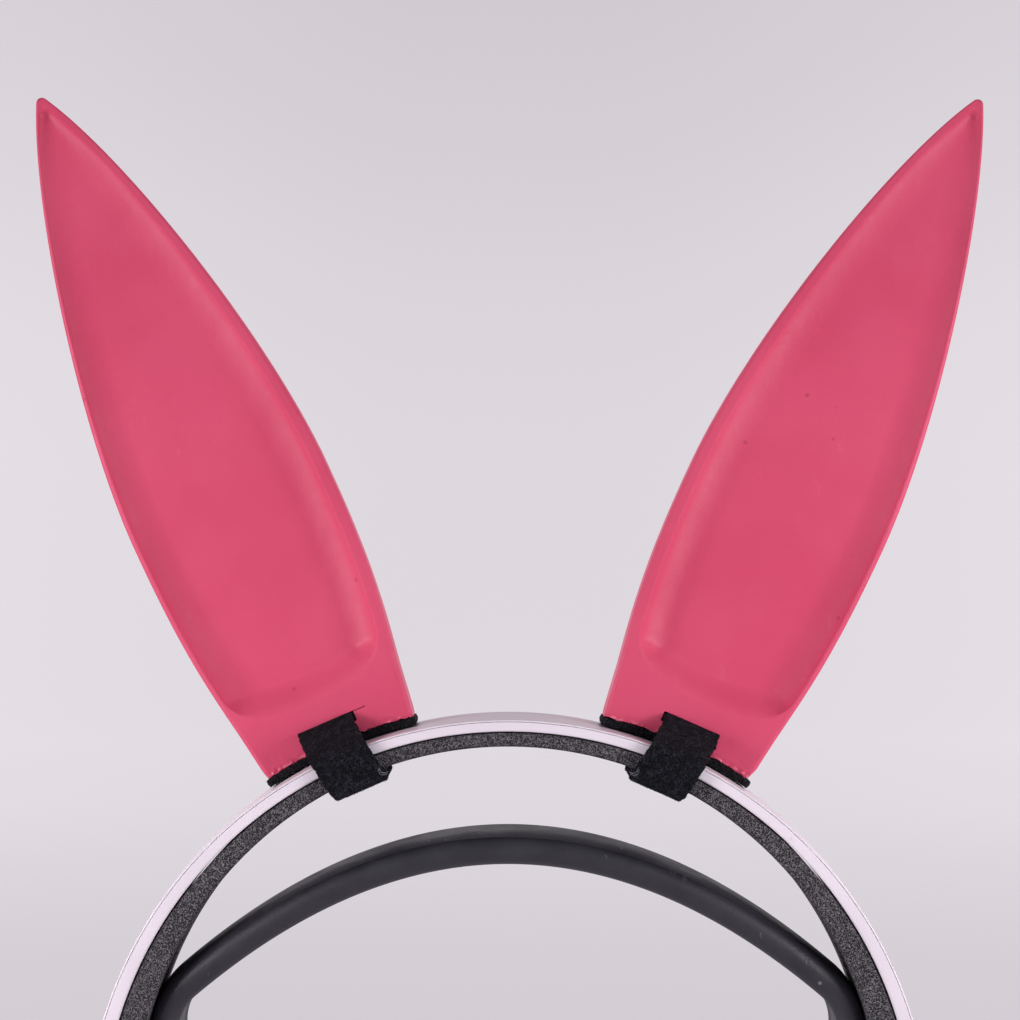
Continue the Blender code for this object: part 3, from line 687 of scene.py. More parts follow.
# %% Slots for the sliders' tongues
RUN = 0.5 * MM
SLIDE_TRAVEL = joints["suspension_slide"]["range_m"][1]
TONGUE_DEPTH = 9.0 * MM
TONGUE_H = 5.0 * MM
TONGUE_REACH = 6.0 * MM
PLATE_T = 1.2 * MM
PLATE_UP = 5.0 * MM
for word, side in SIDES:
    slider_low, slider_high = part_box("slider_" + word)
    body_top = slider_high.z - PLATE_UP
    middle = (slider_low.z + body_top) / 2
    tip = slider_low.x if side < 0 else slider_high.x
    inside = tip - side * TONGUE_REACH
    past = tip + side * RUN
    low = (min(inside, past), -TONGUE_DEPTH / 2 - RUN, middle - TONGUE_H / 2 - SLIDE_TRAVEL - RUN)
    high = (max(inside, past), TONGUE_DEPTH / 2 + RUN, middle + TONGUE_H / 2 + RUN)
    cut(inner_cover, rounded_block("slot_cutter", low, high, 0.8 * MM))
place(inner_cover, "band", "cover", cover_grain, "inner_cover")


# %% Sliders, rivets and caps
def turned_about_x(name, profile, z, steps=48):
    """A profile of (x, radius) pairs turned about a line along X at this height."""
    profile = np.array(profile)
    angle = np.linspace(0, 2 * math.pi, steps, endpoint=False)
    x = profile[:, :1] + 0 * angle
    y = profile[:, 1:] * np.cos(angle)
    grid = np.stack([x, y, z + profile[:, 1:] * np.sin(angle)], -1)
    return grid_object(name, grid, wrap_columns=True)


def join_blocks(name, blocks):
    """One closed object from overlapping blocks."""
    first, *others = blocks
    for other in others:
        combine(first, other, "UNION")
    first.name = name
    return first


BLOCK_EDGE = 0.45 * MM
FACE_BACK = TONGUE_REACH + 0.2 * MM
TONGUE_ROOT = 1.5 * MM
CAP_EDGE = 1.2 * MM
RIVET_R = 1.2 * MM
RIVET_HEAD_R = 2.4 * MM
RIVET_HEAD_T = 0.7 * MM
rivet_bores = []
for word, side in SIDES:
    low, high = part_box("slider_" + word)
    tip, inner = (low.x, high.x) if side < 0 else (high.x, low.x)
    face = tip - side * FACE_BACK
    body_top = high.z - PLATE_UP
    middle = (low.z + body_top) / 2
    tongue_z = (middle - TONGUE_H / 2, middle + TONGUE_H / 2)
    spans = [
        ((inner, face), (low.y, high.y), (low.z, body_top)),
        ((inner, inner + side * PLATE_T), (low.y, high.y), (body_top - 2 * BLOCK_EDGE, high.z)),
        ((face - side * TONGUE_ROOT, tip), (-TONGUE_DEPTH / 2, TONGUE_DEPTH / 2), tongue_z),
    ]
    blocks = []
    for span in spans:
        corner_low = [min(pair) for pair in span]
        corner_high = [max(pair) for pair in span]
        blocks.append(rounded_block("slider_block", corner_low, corner_high, BLOCK_EDGE))
    slider = join_blocks("strap_slider_" + word, blocks)
    rivet_low, rivet_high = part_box("rivet_" + word)
    centre_z = (rivet_low.z + rivet_high.z) / 2
    start, end = (rivet_high.x, rivet_low.x) if side < 0 else (rivet_low.x, rivet_high.x)
    bore = [(start, RIVET_R + GAP), (end + side * GAP, RIVET_R + GAP)]
    cut(slider, turned_about_x("bore_cutter", bore, centre_z))
    rivet_bores.append((bore, centre_z))
    place(slider, "suspension", "slider", slider_black, "slider_" + word)
    under = start + side * RIVET_HEAD_T
    dome = np.linspace(0, math.pi / 2, 7)
    head_x = under - side * RIVET_HEAD_T * np.sin(dome[::-1])
    head = list(zip(head_x, RIVET_HEAD_R * np.cos(dome[::-1]) ** 0.5))
    pin = head + [(under, RIVET_R), (end, RIVET_R), (end, 0.0)]
    rivet = turned_about_x("rivet_pin_" + word, pin, centre_z)
    place(rivet, "suspension", "steel", steel, "rivet_" + word)
    cap_low, cap_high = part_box("end_cap_" + word)
    cap = rounded_block("band_end_cap_" + word, cap_low, cap_high, CAP_EDGE, steps=7)
    place(cap, "band", "cap", cap_dark, "end_cap_" + word)

# %% [markdown]
# ## The suspension strap
# A strip of soft rubber hangs under the arch as a shallow parabola whose ends turn down into the sliders.
# It has a round bead along both edges, a groove beside each bead and a crowned web between them, and it
# narrows towards its ends. A curve with a bevel object would twist at the bends. The section is listed as
# share of the half width, distance in from the edge and height, so that one formula gives every row.

# %% Centre line of the strap
SUSP_T = 6.1 * MM
SUSP_WEB_T = 5.3 * MM
SUSP_DEPTH = 39.4 * MM
SUSP_END_DEPTH = 30.0 * MM
SUSP_BEAD = 4.6 * MM
BEAD_POINTS = 29
BEAD_FROM = -90
BEAD_TO = 124
SUSP_CREASE = 0.2 * MM
SUSP_RECESS = 1.2 * MM
SUSP_WEB_EDGE = 0.25 * MM
SUSP_CROWN = 0.65 * MM
SUSP_CROWN_W = 6.0 * MM
SUSP_WEB_TOP = 3.65 * MM
SUSP_SPAN = 71.9 * MM
SUSP_SAG = 25.4 * MM + SUSP_T
SUSP_WALL_ROOM = 2.65 * MM
SUSP_SHOULDER = 4.9 * MM
SUSP_END_X = COVER_IN_R - SUSP_WALL_ROOM - SUSP_T / 2
SUSP_FREE_X = SUSP_END_X - SUSP_SHOULDER
strap_low, strap_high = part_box("suspension_strap")


def strap_line():
    """Right half: z falls as x squared, then a circular bend to vertical, then straight down."""
    pull = SUSP_SAG / SUSP_SPAN**2
    x = np.linspace(0, SUSP_FREE_X, 150)
    z = SUSP_T / 2 - pull * x**2
    lean = np.arctan(2 * pull * x)
    radius = (SUSP_END_X - SUSP_FREE_X) / (1 - math.sin(lean[-1]))
    bend = np.linspace(lean[-1], math.pi / 2, 40)[1:]
    bend_x = x[-1] + radius * (np.sin(bend) - math.sin(lean[-1]))
    bend_z = z[-1] - radius * (math.cos(lean[-1]) - np.cos(bend))
    down_z = np.linspace(bend_z[-1], strap_low.z, 14)[1:]
    down = np.full(len(down_z), math.pi / 2)
    all_x = np.concatenate([x, bend_x, np.full(len(down_z), SUSP_END_X)])
    all_z = np.concatenate([z, bend_z, down_z])
    return np.column_stack([all_x, all_z, np.concatenate([lean, bend, down])])


half_line = strap_line()
other_half = half_line[:0:-1] * [-1, 1, -1]
strap_rows = np.concatenate([other_half, half_line])
end_x, end_z, _ = half_line[-1]
print("strap rows", len(strap_rows), "ends at x", round(end_x, 4), "z", round(end_z, 4))


# %% Section of the strap
def strap_section():
    """(share of the half width, distance in from the edge, height) round one closed section.

    From the underside: a circular bead, a narrow groove running in under the web's edge, the web's
    rounded edge, a crown that rises as a parabola, the flat middle, and the other side mirrored.
    """
    half = SUSP_T / 2
    angle = np.radians(np.linspace(BEAD_FROM, BEAD_TO, BEAD_POINTS))
    bead = np.column_stack([np.ones(BEAD_POINTS), half * (1 - np.cos(angle)), half * np.sin(angle)])
    crease = bead[-1, 1] + SUSP_CREASE
    turn = np.radians(np.linspace(180, 90, 5))
    edge_in = crease + SUSP_WEB_EDGE * (1 + np.cos(turn))
    edge_height = SUSP_WEB_TOP - SUSP_CROWN - SUSP_WEB_EDGE * (1 - np.sin(turn))
    low, high = bead[-1, 2] - SUSP_CREASE, bead[-1, 2] + SUSP_CREASE
    floor_in = crease + SUSP_RECESS
    groove = [(1, bead[-1, 1], low), (1, floor_in, low), (1, floor_in, high), (1, crease, high)]
    edge = np.column_stack([np.ones(len(turn)), edge_in, edge_height])
    t = np.linspace(0, 1, 9)[1:]
    crown_in = edge_in[-1] + SUSP_CROWN_W * t
    crown_height = edge_height[-1] + SUSP_CROWN * t * (2 - t)
    crown = np.column_stack([np.ones(len(t)), crown_in, crown_height])
    right = np.concatenate([bead, groove, edge, crown])
    left = right[::-1] * [-1, 1, 1]
    web_top = [(f, crown_in[-1] * abs(f), SUSP_WEB_TOP) for f in np.linspace(0.9, -0.9, 13)]
    web_under = [(f, SUSP_BEAD * abs(f), -SUSP_WEB_T / 2) for f in np.linspace(-1, 1, 21)]
    return np.concatenate([right, web_top, left, web_under])


def strap_grid():
    """The section set across the line at every row; the half width shrinks towards the ends as x squared."""
    line_x, line_z, lean = (column[:, None] for column in strap_rows.T)
    share, inwards, height = strap_section().T
    far = np.minimum(np.abs(line_x) / SUSP_END_X, 1.0) ** 2
    half_depth = (SUSP_DEPTH + (SUSP_END_DEPTH - SUSP_DEPTH) * far) / 2
    y = share * half_depth - np.sign(share) * inwards
    return np.stack([line_x + height * np.sin(lean), y, line_z + height * np.cos(lean)], -1)


suspension = grid_object("suspension_rubber", strap_grid(), wrap_columns=True)
for bore, centre_z in rivet_bores:
    cut(suspension, turned_about_x("bore_cutter", bore, centre_z))
place(suspension, "suspension", "strap", strap_rubber, "suspension_strap")

# %% [markdown]
# ## The ears
# Each ear is one printed piece: a long leaf outline from two cubic curves, thick at the foot and thin at
# the tip, with a dished front, a foot that follows the arch and a slot for its strap. Sculpting would
# lose the exact outline, so the surface is a stack of closed rings, and a height above the foot and a
# place across give each point. Points crowd where the dish's wall turns, so its edge is crisp.

# %% Outline of an ear
EAR_TURN = {-1: math.radians(23.4), 1: math.radians(23.6)}
EAR_LEAN = math.radians(1.6)
EAR_H = 155.3 * MM
EAR_BASE_W = 17.4 * MM
EAR_WIDE_W = 23.0 * MM
EAR_WIDE_H = 56.5 * MM
EAR_TIP_W = 0.7 * MM
EAR_TIP_PULL = 22.0 * MM
EAR_TIP_ANGLE = math.radians(29.0)
EAR_FOOT_PULL = (2.8 * MM, 17.9 * MM)
EAR_WIDE_PULL = 30.0 * MM
EAR_TIP_ROUND = 0.97
EAR_FOOT_DEPTH = 18.0 * MM
EAR_TIP_DEPTH = 4.6 * MM
EAR_TIP_THINNING = 0.35

def cubic(points, count=600):
    """A cubic curve's points: the four corners weighted by s3, 3s2t, 3st2 and t3."""
    t = np.linspace(0, 1, count)[:, None]
    a, b, c, d = np.array(points)
    return a * (1 - t) ** 3 + 3 * b * (1 - t) ** 2 * t + 3 * c * (1 - t) * t**2 + d * t**3


def into_tip(h):
    """0 up to the tip's rounding and 1 at the very tip."""
    return np.clip((h - EAR_H + EAR_TIP_W) / EAR_TIP_W, 0, 1)


def ear_half_width(h):
    """Half width at height h: two cubic curves that meet at the widest place, and a rounded tip."""
    wide = (EAR_WIDE_W, EAR_WIDE_H)
    above_foot = (EAR_BASE_W + EAR_FOOT_PULL[0], EAR_FOOT_PULL[1])
    lower = cubic([(EAR_BASE_W, 0), above_foot, (EAR_WIDE_W, EAR_WIDE_H - EAR_WIDE_PULL), wide])
    under_tip_w = EAR_TIP_W + EAR_TIP_PULL * math.sin(EAR_TIP_ANGLE)
    under_tip = (under_tip_w, EAR_H - EAR_TIP_PULL * math.cos(EAR_TIP_ANGLE))
    upper = cubic([wide, (EAR_WIDE_W, EAR_WIDE_H + EAR_WIDE_PULL), under_tip, (EAR_TIP_W, EAR_H)])
    curve = np.concatenate([lower, upper[1:]])
    return np.interp(h, curve[:, 1], curve[:, 0]) * np.sqrt(1 - EAR_TIP_ROUND * into_tip(h) ** 2)


def ear_half_depth(h):
    """Half thickness: even taper from foot to tip, rounded off at the very tip."""
    taper = (EAR_FOOT_DEPTH + (EAR_TIP_DEPTH - EAR_FOOT_DEPTH) * np.clip(h / EAR_H, 0, 1)) / 2
    return taper * (1 - EAR_TIP_THINNING * into_tip(h) ** 2)


print("half width 50 and 100 mm up:", [round(float(ear_half_width(h * MM)), 4) for h in (50, 100)])

# %% [markdown]
# The dish is a hollow 4.6 mm deep at the foot and shallow at the tip. A narrow rim is left round it, wider
# on the side towards the middle. Its wall starts steeply at the rim and runs out softly into the floor,
# and at the foot it is softer still. All of it is one formula for depth, from the distance to the edge.


# %% The dished front
DISH_DEPTH = 4.6 * MM
DISH_TIP_DEPTH = 1.3 * MM
DISH_FOOT = 9.6 * MM
DISH_FOOT_SAG = 3.3 * MM
RIM_IN = 2.5 * MM
RIM_IN_TIP = 1.5 * MM
RIM_OUT = 1.1 * MM
RIM_OUT_TIP = 0.4 * MM
RIM_TAPER_H = 70.0 * MM
DISH_WALL = 7.2 * MM
DISH_CORNER = 5.8 * MM
DISH_CREST = 0.3 * MM
DISH_END = 2.5 * MM
DISH_STOP = 1.8 * MM
DISH_BLEND = 7.0 * MM
DISH_FOOT_SOFT = 0.9
DISH_STEEP = 0.22
STEEP_POWER = 9
WALL_POWER = 1.9
NARROW_W = 4.0 * MM


def rims(h):
    """Rim widths on the inner and the outer side: even up to a height, then narrowing evenly to the tip."""
    share = np.clip((h - RIM_TAPER_H) / (EAR_H - RIM_TAPER_H), 0, 1)
    return RIM_IN + (RIM_IN_TIP - RIM_IN) * share, RIM_OUT + (RIM_OUT_TIP - RIM_OUT) * share


def dish_half_width(h):
    """What both rims leave of the ear's width, and never less than 0.35 of it, halved."""
    width = ear_half_width(h)
    return np.maximum(width - sum(rims(h)) / 2, 0.35 * width)


def dish_middle(h):
    """Half the difference of the rims off the ear's axis, and back onto it where the ear is narrow."""
    rim_in, rim_out = rims(h)
    return (rim_in - rim_out) / 2 * np.minimum(1.0, ear_half_width(h) / NARROW_W)


def dish(u, h):
    """Depth under the rim, from the distance in from the dish's edge.

    The edge's corners are arcs. Over the wall's width the depth goes to full as 1 - (1 - t)^n, with a
    small share of high n, which is the steep lip, and the rest of low n. Near the foot it turns into a
    smooth step. A crest rounds the edge itself, and the dish runs out before the tip.
    """
    half = dish_half_width(h)
    side = half - np.abs(u - dish_middle(h))
    foot = h - DISH_FOOT - DISH_FOOT_SAG * ((u - dish_middle(h)) / half) ** 2
    corner = DISH_CORNER - np.hypot(DISH_CORNER - side, DISH_CORNER - foot)
    inside = np.where((side < DISH_CORNER) & (foot < DISH_CORNER), corner, np.minimum(side, foot))
    wall = np.minimum(DISH_WALL, 0.95 * half)
    t = np.clip(inside / wall, 0, 1)
    crest = smooth_step(inside / DISH_CREST)
    crisp = DISH_STEEP * (1 - (1 - t) ** STEEP_POWER)
    crisp += (1 - DISH_STEEP) * (1 - (1 - t) ** WALL_POWER)
    soft_foot = DISH_FOOT_SOFT * smooth_step((side - foot) / DISH_BLEND + 0.5)
    fall = (crisp + (smooth_step(t) - crisp) * soft_foot) * crest
    depth = DISH_DEPTH + (DISH_TIP_DEPTH - DISH_DEPTH) * h / EAR_H
    return depth * fall * smooth_step((EAR_H - DISH_STOP - h) / DISH_END)


print("dish depth on the ear's axis, 60 mm up:", round(float(dish(0.0, 60 * MM)), 5))


# %% Rings of an ear
EAR_EDGE = 1.0 * MM
BACK_EDGE = 5.0 * MM
BACK_EDGE_FOOT = 1.5 * MM
BACK_BLEND_H = 30.0 * MM
ROUGH_H = 1.1 * MM
ROUGH_DEPTH = 0.26 * MM
FOOT_TRIM = {-1: 0.3 * MM, 1: 0.9 * MM}
FOOT_TRIM_BAND = 0.2 * MM
FOOT_TRIM_H = 2.4 * MM
FOOT_TRIM_POWER = 1.3
FOOT_BLEND_H = 9.0 * MM
EAR_SWAY = {-1: 0.4 * MM, 1: 0.6 * MM}
SWAY_POWER = 0.5


def clustered(low, high, count):
    """Places from low to high that crowd together at both ends, as a cosine does."""
    return low + (high - low) * (1 - np.cos(np.linspace(0, math.pi, count))) / 2


def ear_rows():
    """Heights of the rings: close together at the rough foot, on the dish's foot wall and at the tip."""
    foot = np.concatenate([np.linspace(0, 1.6, 9)[:-1], np.linspace(1.6, 9.2, 11)]) * MM
    wall = np.linspace(DISH_FOOT - 0.1 * MM, DISH_FOOT + DISH_FOOT_SAG + DISH_WALL, 46)
    body = np.linspace(wall[-1] + 0.9 * MM, EAR_H - 22 * MM, 110)
    rounding = 0.7 * np.cos(np.linspace(0, math.pi / 2, 10))
    tip = EAR_H - np.concatenate([np.linspace(21.4, 1.0, 48), rounding]) * MM
    return np.concatenate([foot, wall, body, tip])


def ear_columns():
    """Shares across the dish, -1 to 1, crowded at its two edges."""
    near = 1 - np.array([0, 0.006, 0.012, 0.018, 0.026, 0.038, 0.052])
    wall = np.linspace(0.93, 0.6, 18)
    floor = np.linspace(0.57, 0, 12)
    half = np.concatenate([near, wall, floor])
    return np.concatenate([-half, half[-2::-1]])


def ear_ring_grid(side):
    """Rings of (u, y, h), row by row: front with its dish, rounded edges, sides and a plain back.

    The outer corner of the foot is trimmed a little, and the whole ear sways towards the middle as the
    square root of a half sine of its height.
    """
    h = ear_rows()[:, None]
    half = ear_half_width(h)
    deep = ear_half_depth(h)
    edge = np.minimum(np.minimum(EAR_EDGE, rims(h)[1]), np.minimum(0.4 * half, 0.4 * deep))
    turn = np.linspace(0, math.pi / 2, 8)[None, :]
    corner_u = -half + edge - edge * np.cos(turn)
    corner_y = -deep + edge - edge * np.sin(turn)
    round_back = BACK_EDGE_FOOT + (BACK_EDGE - BACK_EDGE_FOOT) * smooth_step(h / BACK_BLEND_H)
    back_edge = np.minimum(round_back, np.minimum(0.6 * half, 0.9 * deep))
    behind_u = -half + back_edge - back_edge * np.cos(turn)
    behind_y = -deep + back_edge - back_edge * np.sin(turn)
    middle = dish_middle(h)
    dish_u = middle + ear_columns()[None, :] * dish_half_width(h)
    rim_share = np.linspace(0, 1, 6)[None, 1:-1]
    rim_in = corner_u[:, -1:] + (dish_u[:, :1] - corner_u[:, -1:]) * rim_share
    rim_out = dish_u[:, -1:] + (-corner_u[:, -1:] - dish_u[:, -1:]) * rim_share
    flat_in = np.broadcast_to(-deep, rim_in.shape)
    side_share = np.linspace(0, 1, 12)[None, 1:-1]
    side_y = (-deep + edge) + (2 * deep - edge - back_edge) * side_share
    back_u = clustered(-1, 1, 40)[None, 1:-1] * (half - back_edge)
    back_y = np.broadcast_to(deep, back_u.shape)
    u = [corner_u, rim_in, dish_u, rim_out, -corner_u[:, ::-1], np.broadcast_to(half, side_y.shape)]
    u += [-behind_u, -back_u, behind_u[:, ::-1], np.broadcast_to(-half, side_y.shape)]
    y = [corner_y, flat_in, -deep + dish(dish_u, h), flat_in, corner_y[:, ::-1], side_y]
    y += [-behind_y, back_y, -behind_y[:, ::-1], side_y[:, ::-1]]
    u = np.concatenate(u, 1)
    y = np.concatenate(y, 1)
    trim = FOOT_TRIM[side] * np.clip(1 - h / FOOT_TRIM_H, 0, 1) ** FOOT_TRIM_POWER
    u = np.where(u > half - FOOT_TRIM[side] - FOOT_TRIM_BAND, np.minimum(u, half - trim), u)
    u = u - EAR_SWAY[side] * np.sin(math.pi * np.clip(h / EAR_H, 0, 1)) ** SWAY_POWER
    return u, y, np.broadcast_to(h, u.shape)


def foot_arc(u):
    """How far the foot, which follows the arch, lies from the ear's own base line."""
    return np.sqrt(FOOT_R**2 - (u - FOOT_R * math.sin(EAR_LEAN)) ** 2) - FOOT_R * math.cos(EAR_LEAN)


def turned(side, x, y, z):
    """From distances from the arch centre, with the ear upright, to the ear's place on the arch."""
    angle = side * EAR_TURN[side]
    cosine, sine = math.cos(angle), math.sin(angle)
    return np.stack([x * cosine + z * sine, y, ARC_Z - x * sine + z * cosine], -1)


def ear_grid(side):
    """The rings of one ear, leaned on its own axis, lifted to the arch and turned to its place.

    The lowest millimetre is roughened by two ripples, as a sawn and filed edge is.
    """
    u, y, h = ear_ring_grid(side)
    lift = foot_arc(u) * np.clip(1 - h / FOOT_BLEND_H, 0, 1)
    h = h + lift
    x = side * (u * math.cos(EAR_LEAN) + h * math.sin(EAR_LEAN))
    z = FOOT_R - u * math.sin(EAR_LEAN) + h * math.cos(EAR_LEAN)
    points = turned(side, x, y, z)
    low = np.clip(1 - (h - lift) / ROUGH_H, 0, 1)
    rough = ripple(points, 1.5 * MM, 11 + side) + 0.7 * ripple(points, 0.6 * MM, 21 + side)
    points[..., 1] += low * np.sign(y) * (rough - 0.6) * ROUGH_DEPTH
    points[..., 2] += low * np.minimum(rough, 0.3) * ROUGH_DEPTH
    return points


print("rings", len(ear_rows()), "with", ear_ring_grid(1)[0].shape[1], "points each")

# %% [markdown]
# A slot runs through each foot from front to back. It is cut by a rounded block, because a hole in a grid
# of rings would need its own patches. A thin block adds the saw's overrun beside the left ear's slot.


# %% Cut the slots and place the ears
TAPE_W = 12.7 * MM
TAPE_OFF = 0.9 * MM
TAPE_DRIFT = 2.3 * MM
SLOT_UP = 2.4 * MM
SLOT_H = 2.3 * MM
SLOT_SIDE_IN = 0.4 * MM
SLOT_SIDE_OUT = 0.1 * MM
SLOT_EDGE = 0.25 * MM
OVERCUT_SIDE = -1
OVERCUT = 3.0 * MM
OVERCUT_T = 0.2 * MM
OVERCUT_IN = 0.2 * MM
OVERCUT_DROP = 0.05 * MM
OVERCUT_DEEP = 0.9 * MM
OVERCUT_EDGE = 0.04 * MM


def turned_block(name, side, low, high, radius):
    """A rounded block given upright, from the arch centre, and carried to an ear's place."""
    block = rounded_block(name, low, high, radius, steps=2)
    co = np.zeros(len(block.data.vertices) * 3)
    block.data.vertices.foreach_get("co", co)
    carried = turned(side, *co.reshape(-1, 3).T)
    block.data.vertices.foreach_set("co", carried.astype(np.float32).ravel())
    block.data.update()
    return block


for word, side in SIDES:
    ear = grid_object("rabbit_ear_" + word, ear_grid(side), wrap_columns=True)
    ends = (TAPE_OFF - TAPE_W / 2 - SLOT_SIDE_IN, TAPE_OFF + TAPE_W / 2 + SLOT_SIDE_OUT)
    low = (min(side * e for e in ends), -EAR_FOOT_DEPTH, FOOT_R + SLOT_UP)
    high = (max(side * e for e in ends), EAR_FOOT_DEPTH, FOOT_R + SLOT_UP + SLOT_H)
    cut(ear, turned_block("slot_cutter", side, low, high, SLOT_EDGE))
    if side == OVERCUT_SIDE:
        start = high[0] - OVERCUT_IN
        top = high[2] - OVERCUT_DROP
        low = (start, -EAR_FOOT_DEPTH, top - OVERCUT_T)
        high = (start + OVERCUT, -EAR_FOOT_DEPTH / 2 + OVERCUT_DEEP, top)
        cut(ear, turned_block("overcut", side, low, high, OVERCUT_EDGE))
    place(ear, word + "_ear", "ear", ear_pink, "ear_" + word)

# %% [markdown]
# ## Felt pads
# A thin felt pad lies between each foot and the band. It is cut by hand, so its edge is ragged, and it is
# a little longer than the foot. It is clamped flat, so a swollen cloth simulation would be wrong: it is a
# rounded section bent round the arch, with noise and short fibres along its edges.

# %% Pads
PAD_DEPTH = 17.4 * MM
PAD_OVER = 0.6 * MM
PAD_END = 0.025
PAD_WAIST = 0.9
PAD_EDGE_BAND = 0.5 * MM


def pad_grid(side):
    """A rounded section bent round the arch, drawn in at both ends as a quarter circle, with ragged edges."""
    half = (EAR_BASE_W + PAD_OVER) / FOOT_R
    t = np.linspace(-1, 1, 150)[:, None]
    angle = half * t
    end = np.sqrt(np.clip(1 - np.clip((np.abs(t) - (1 - PAD_END)) / PAD_END, 0, 1) ** 2, 0.0, 1))
    corners = [(-1, -1, 0.3), (1, -1, 0.3), (1, 1, 0.45), (-1, 1, 0.45)]
    scaled = [(y * PAD_DEPTH / 2, r * PAD_T / 2, 0, e * MM) for y, r, e in corners]
    outline = with_more_points(rounded_outline(scaled), 0.35 * MM)
    y = outline[:, 0] * (PAD_WAIST + (1 - PAD_WAIST) * end)
    r = (PAD_IN_R + PAD_OUT_R) / 2 + outline[:, 1] * end
    points = turned(side, r * np.sin(angle), y + 0 * angle, r * np.cos(angle))
    outwards = np.sign(outline[:, 0]) * (np.abs(outline[:, 0]) > PAD_DEPTH / 2 - PAD_EDGE_BAND)
    shaggy = ripple(points, 1.1 * MM, 31 + side) * 0.16 * MM
    shaggy += ripple(points, 0.45 * MM, 41 + side) * 0.07 * MM
    points[..., 1] += outwards * shaggy
    return points


print("pad", round(2 * (EAR_BASE_W + PAD_OVER), 4), "m long round the arch")

# %% [markdown]
# Short fibres stand off the felt and the loop tape. Hair particles would have to be turned into a mesh for
# the export, so they are made as one: every fibre is a bent three-sided needle of 18 faces, and all of a
# piece's fibres are worked out in one go. A function picks the points that they may grow from.


# %% Fibres that stand off a surface
FIBRE_LEAN = 0.55
FIBRE_CURL = 0.35


def fibres(obj, name, count, length, thickness, seed, chosen):
    """Short bent hairs: each starts at a point of the surface, leans at random and curls as t squared."""
    random = np.random.default_rng(seed)
    mesh = obj.data
    co = np.zeros(len(mesh.vertices) * 3)
    normal = np.zeros(len(mesh.vertices) * 3)
    mesh.vertices.foreach_get("co", co)
    mesh.vertices.foreach_get("normal", normal)
    co = co.reshape(-1, 3)
    normal = normal.reshape(-1, 3)
    pick = random.choice(np.flatnonzero(chosen(co, normal)), count)
    root = co[pick] - normal[pick] * thickness
    wander = random.normal(size=(count, 3))
    along = normal[pick] * FIBRE_LEAN + wander * FIBRE_LEAN
    along /= np.linalg.norm(along, axis=1, keepdims=True)
    bend = np.cross(along, random.normal(size=(count, 3)))
    t = np.linspace(0, 1, 4)[None, :, None]
    size = (length * random.uniform(0.4, 1.0, count))[:, None, None]
    spine = root[:, None] + along[:, None] * size * t + bend[:, None] * size * FIBRE_CURL * t**2
    side_a = np.cross(along, [0.3, 0.5, 0.8])
    side_a /= np.linalg.norm(side_a, axis=1, keepdims=True)
    side_b = np.cross(along, side_a)
    around = np.radians([90, 210, 330])
    ring = side_a[:, None] * np.cos(around)[:, None] + side_b[:, None] * np.sin(around)[:, None]
    radius = thickness / 2 * np.array([0.8, 1.0, 0.8, 0.25])
    points = spine[:, :, None] + ring[:, None] * radius[None, :, None, None]
    faces = grid_faces(4, 3, False, True)
    quads = faces[None] + 12 * np.arange(count)[:, None, None]
    hair = mesh_of(name, points.reshape(-1, 3), quads.reshape(-1, 4))
    return object_of(name, close_mesh(hair))


def on_pad_edge(co, normal):
    return np.abs(co[:, 1]) > PAD_DEPTH / 2 - 0.6 * MM


for word, side in SIDES:
    pad = grid_object("felt_pad_" + word, pad_grid(side), wrap_columns=True)
    place(pad, word + "_ear", "felt", pad_felt, "saddle_pad_" + word)
    fuzz = fibres(pad, "felt_fibres_" + word, 1500, 0.55 * MM, 0.05 * MM, 51 + side, on_pad_edge)
    place(fuzz, word + "_ear", "felt", pad_felt)

# %% [markdown]
# ## Hook-and-loop straps
# A strap runs through each ear's slot and round the band, loop side out. Tape like this keeps its width
# and thickness, so it needs no cloth simulation: it is a flat section carried round a closed path of
# (front to back, radius), leaning a little towards the middle lower down. Its edges wander and its lower
# corners are rounded, as on soft tape. Fine fibres stand off the loop side.

# %% Path of a strap
TAPE_T = 1.0 * MM
HOOK_W = 12.1 * MM
HOOK_T = 0.6 * MM
TAPE_CORNER = 1.8 * MM
TAPE_MOUTH = 0.6 * MM
TAPE_SHOULDER = 0.4 * MM
TAPE_UNDER_SLOT_TOP = 0.2 * MM
TAPE_EDGE_BAND = 0.6 * MM
TAPE_LUMPS = 0.05 * MM
PATH_STEP = 0.33 * MM
FOLD_RADIUS = 2.0 * MM
STRAP_ROOM = 0.4 * MM
STRAP_TURN = math.radians(joints["ear_left_shift"]["range_deg"][1])
HOOK_IN_Y = HALF_BAND + STRAP_ROOM
TAPE_MID_Y = HOOK_IN_Y + HOOK_T + GAP + TAPE_T / 2
reach = max(EAR_TURN.values()) + STRAP_TURN + (TAPE_W / 2 + TAPE_DRIFT) / COVER_IN_R
TAPE_LOW_R = COVER_IN_R + COVER_IN_RISE * math.cos(reach)
TAPE_LOW_R -= STRAP_ROOM + HOOK_T + GAP + TAPE_T / 2
TAPE_TOP_R = FOOT_R + SLOT_UP


def tape_shift(side, r):
    """The strap leans towards the middle, evenly from the slot to its foot."""
    share = np.clip((TAPE_TOP_R - r) / (TAPE_TOP_R - TAPE_LOW_R), 0, 1)
    return side * (TAPE_OFF - TAPE_DRIFT * share)


def path_normals(path, closed):
    """Outward directions: the path's own direction turned a quarter to the left."""
    if closed:
        along = np.roll(path, -1, 0) - np.roll(path, 1, 0)
    else:
        along = np.gradient(path, axis=0)
    along /= np.linalg.norm(along, axis=1, keepdims=True)
    return np.column_stack([-along[:, 1], along[:, 0]])


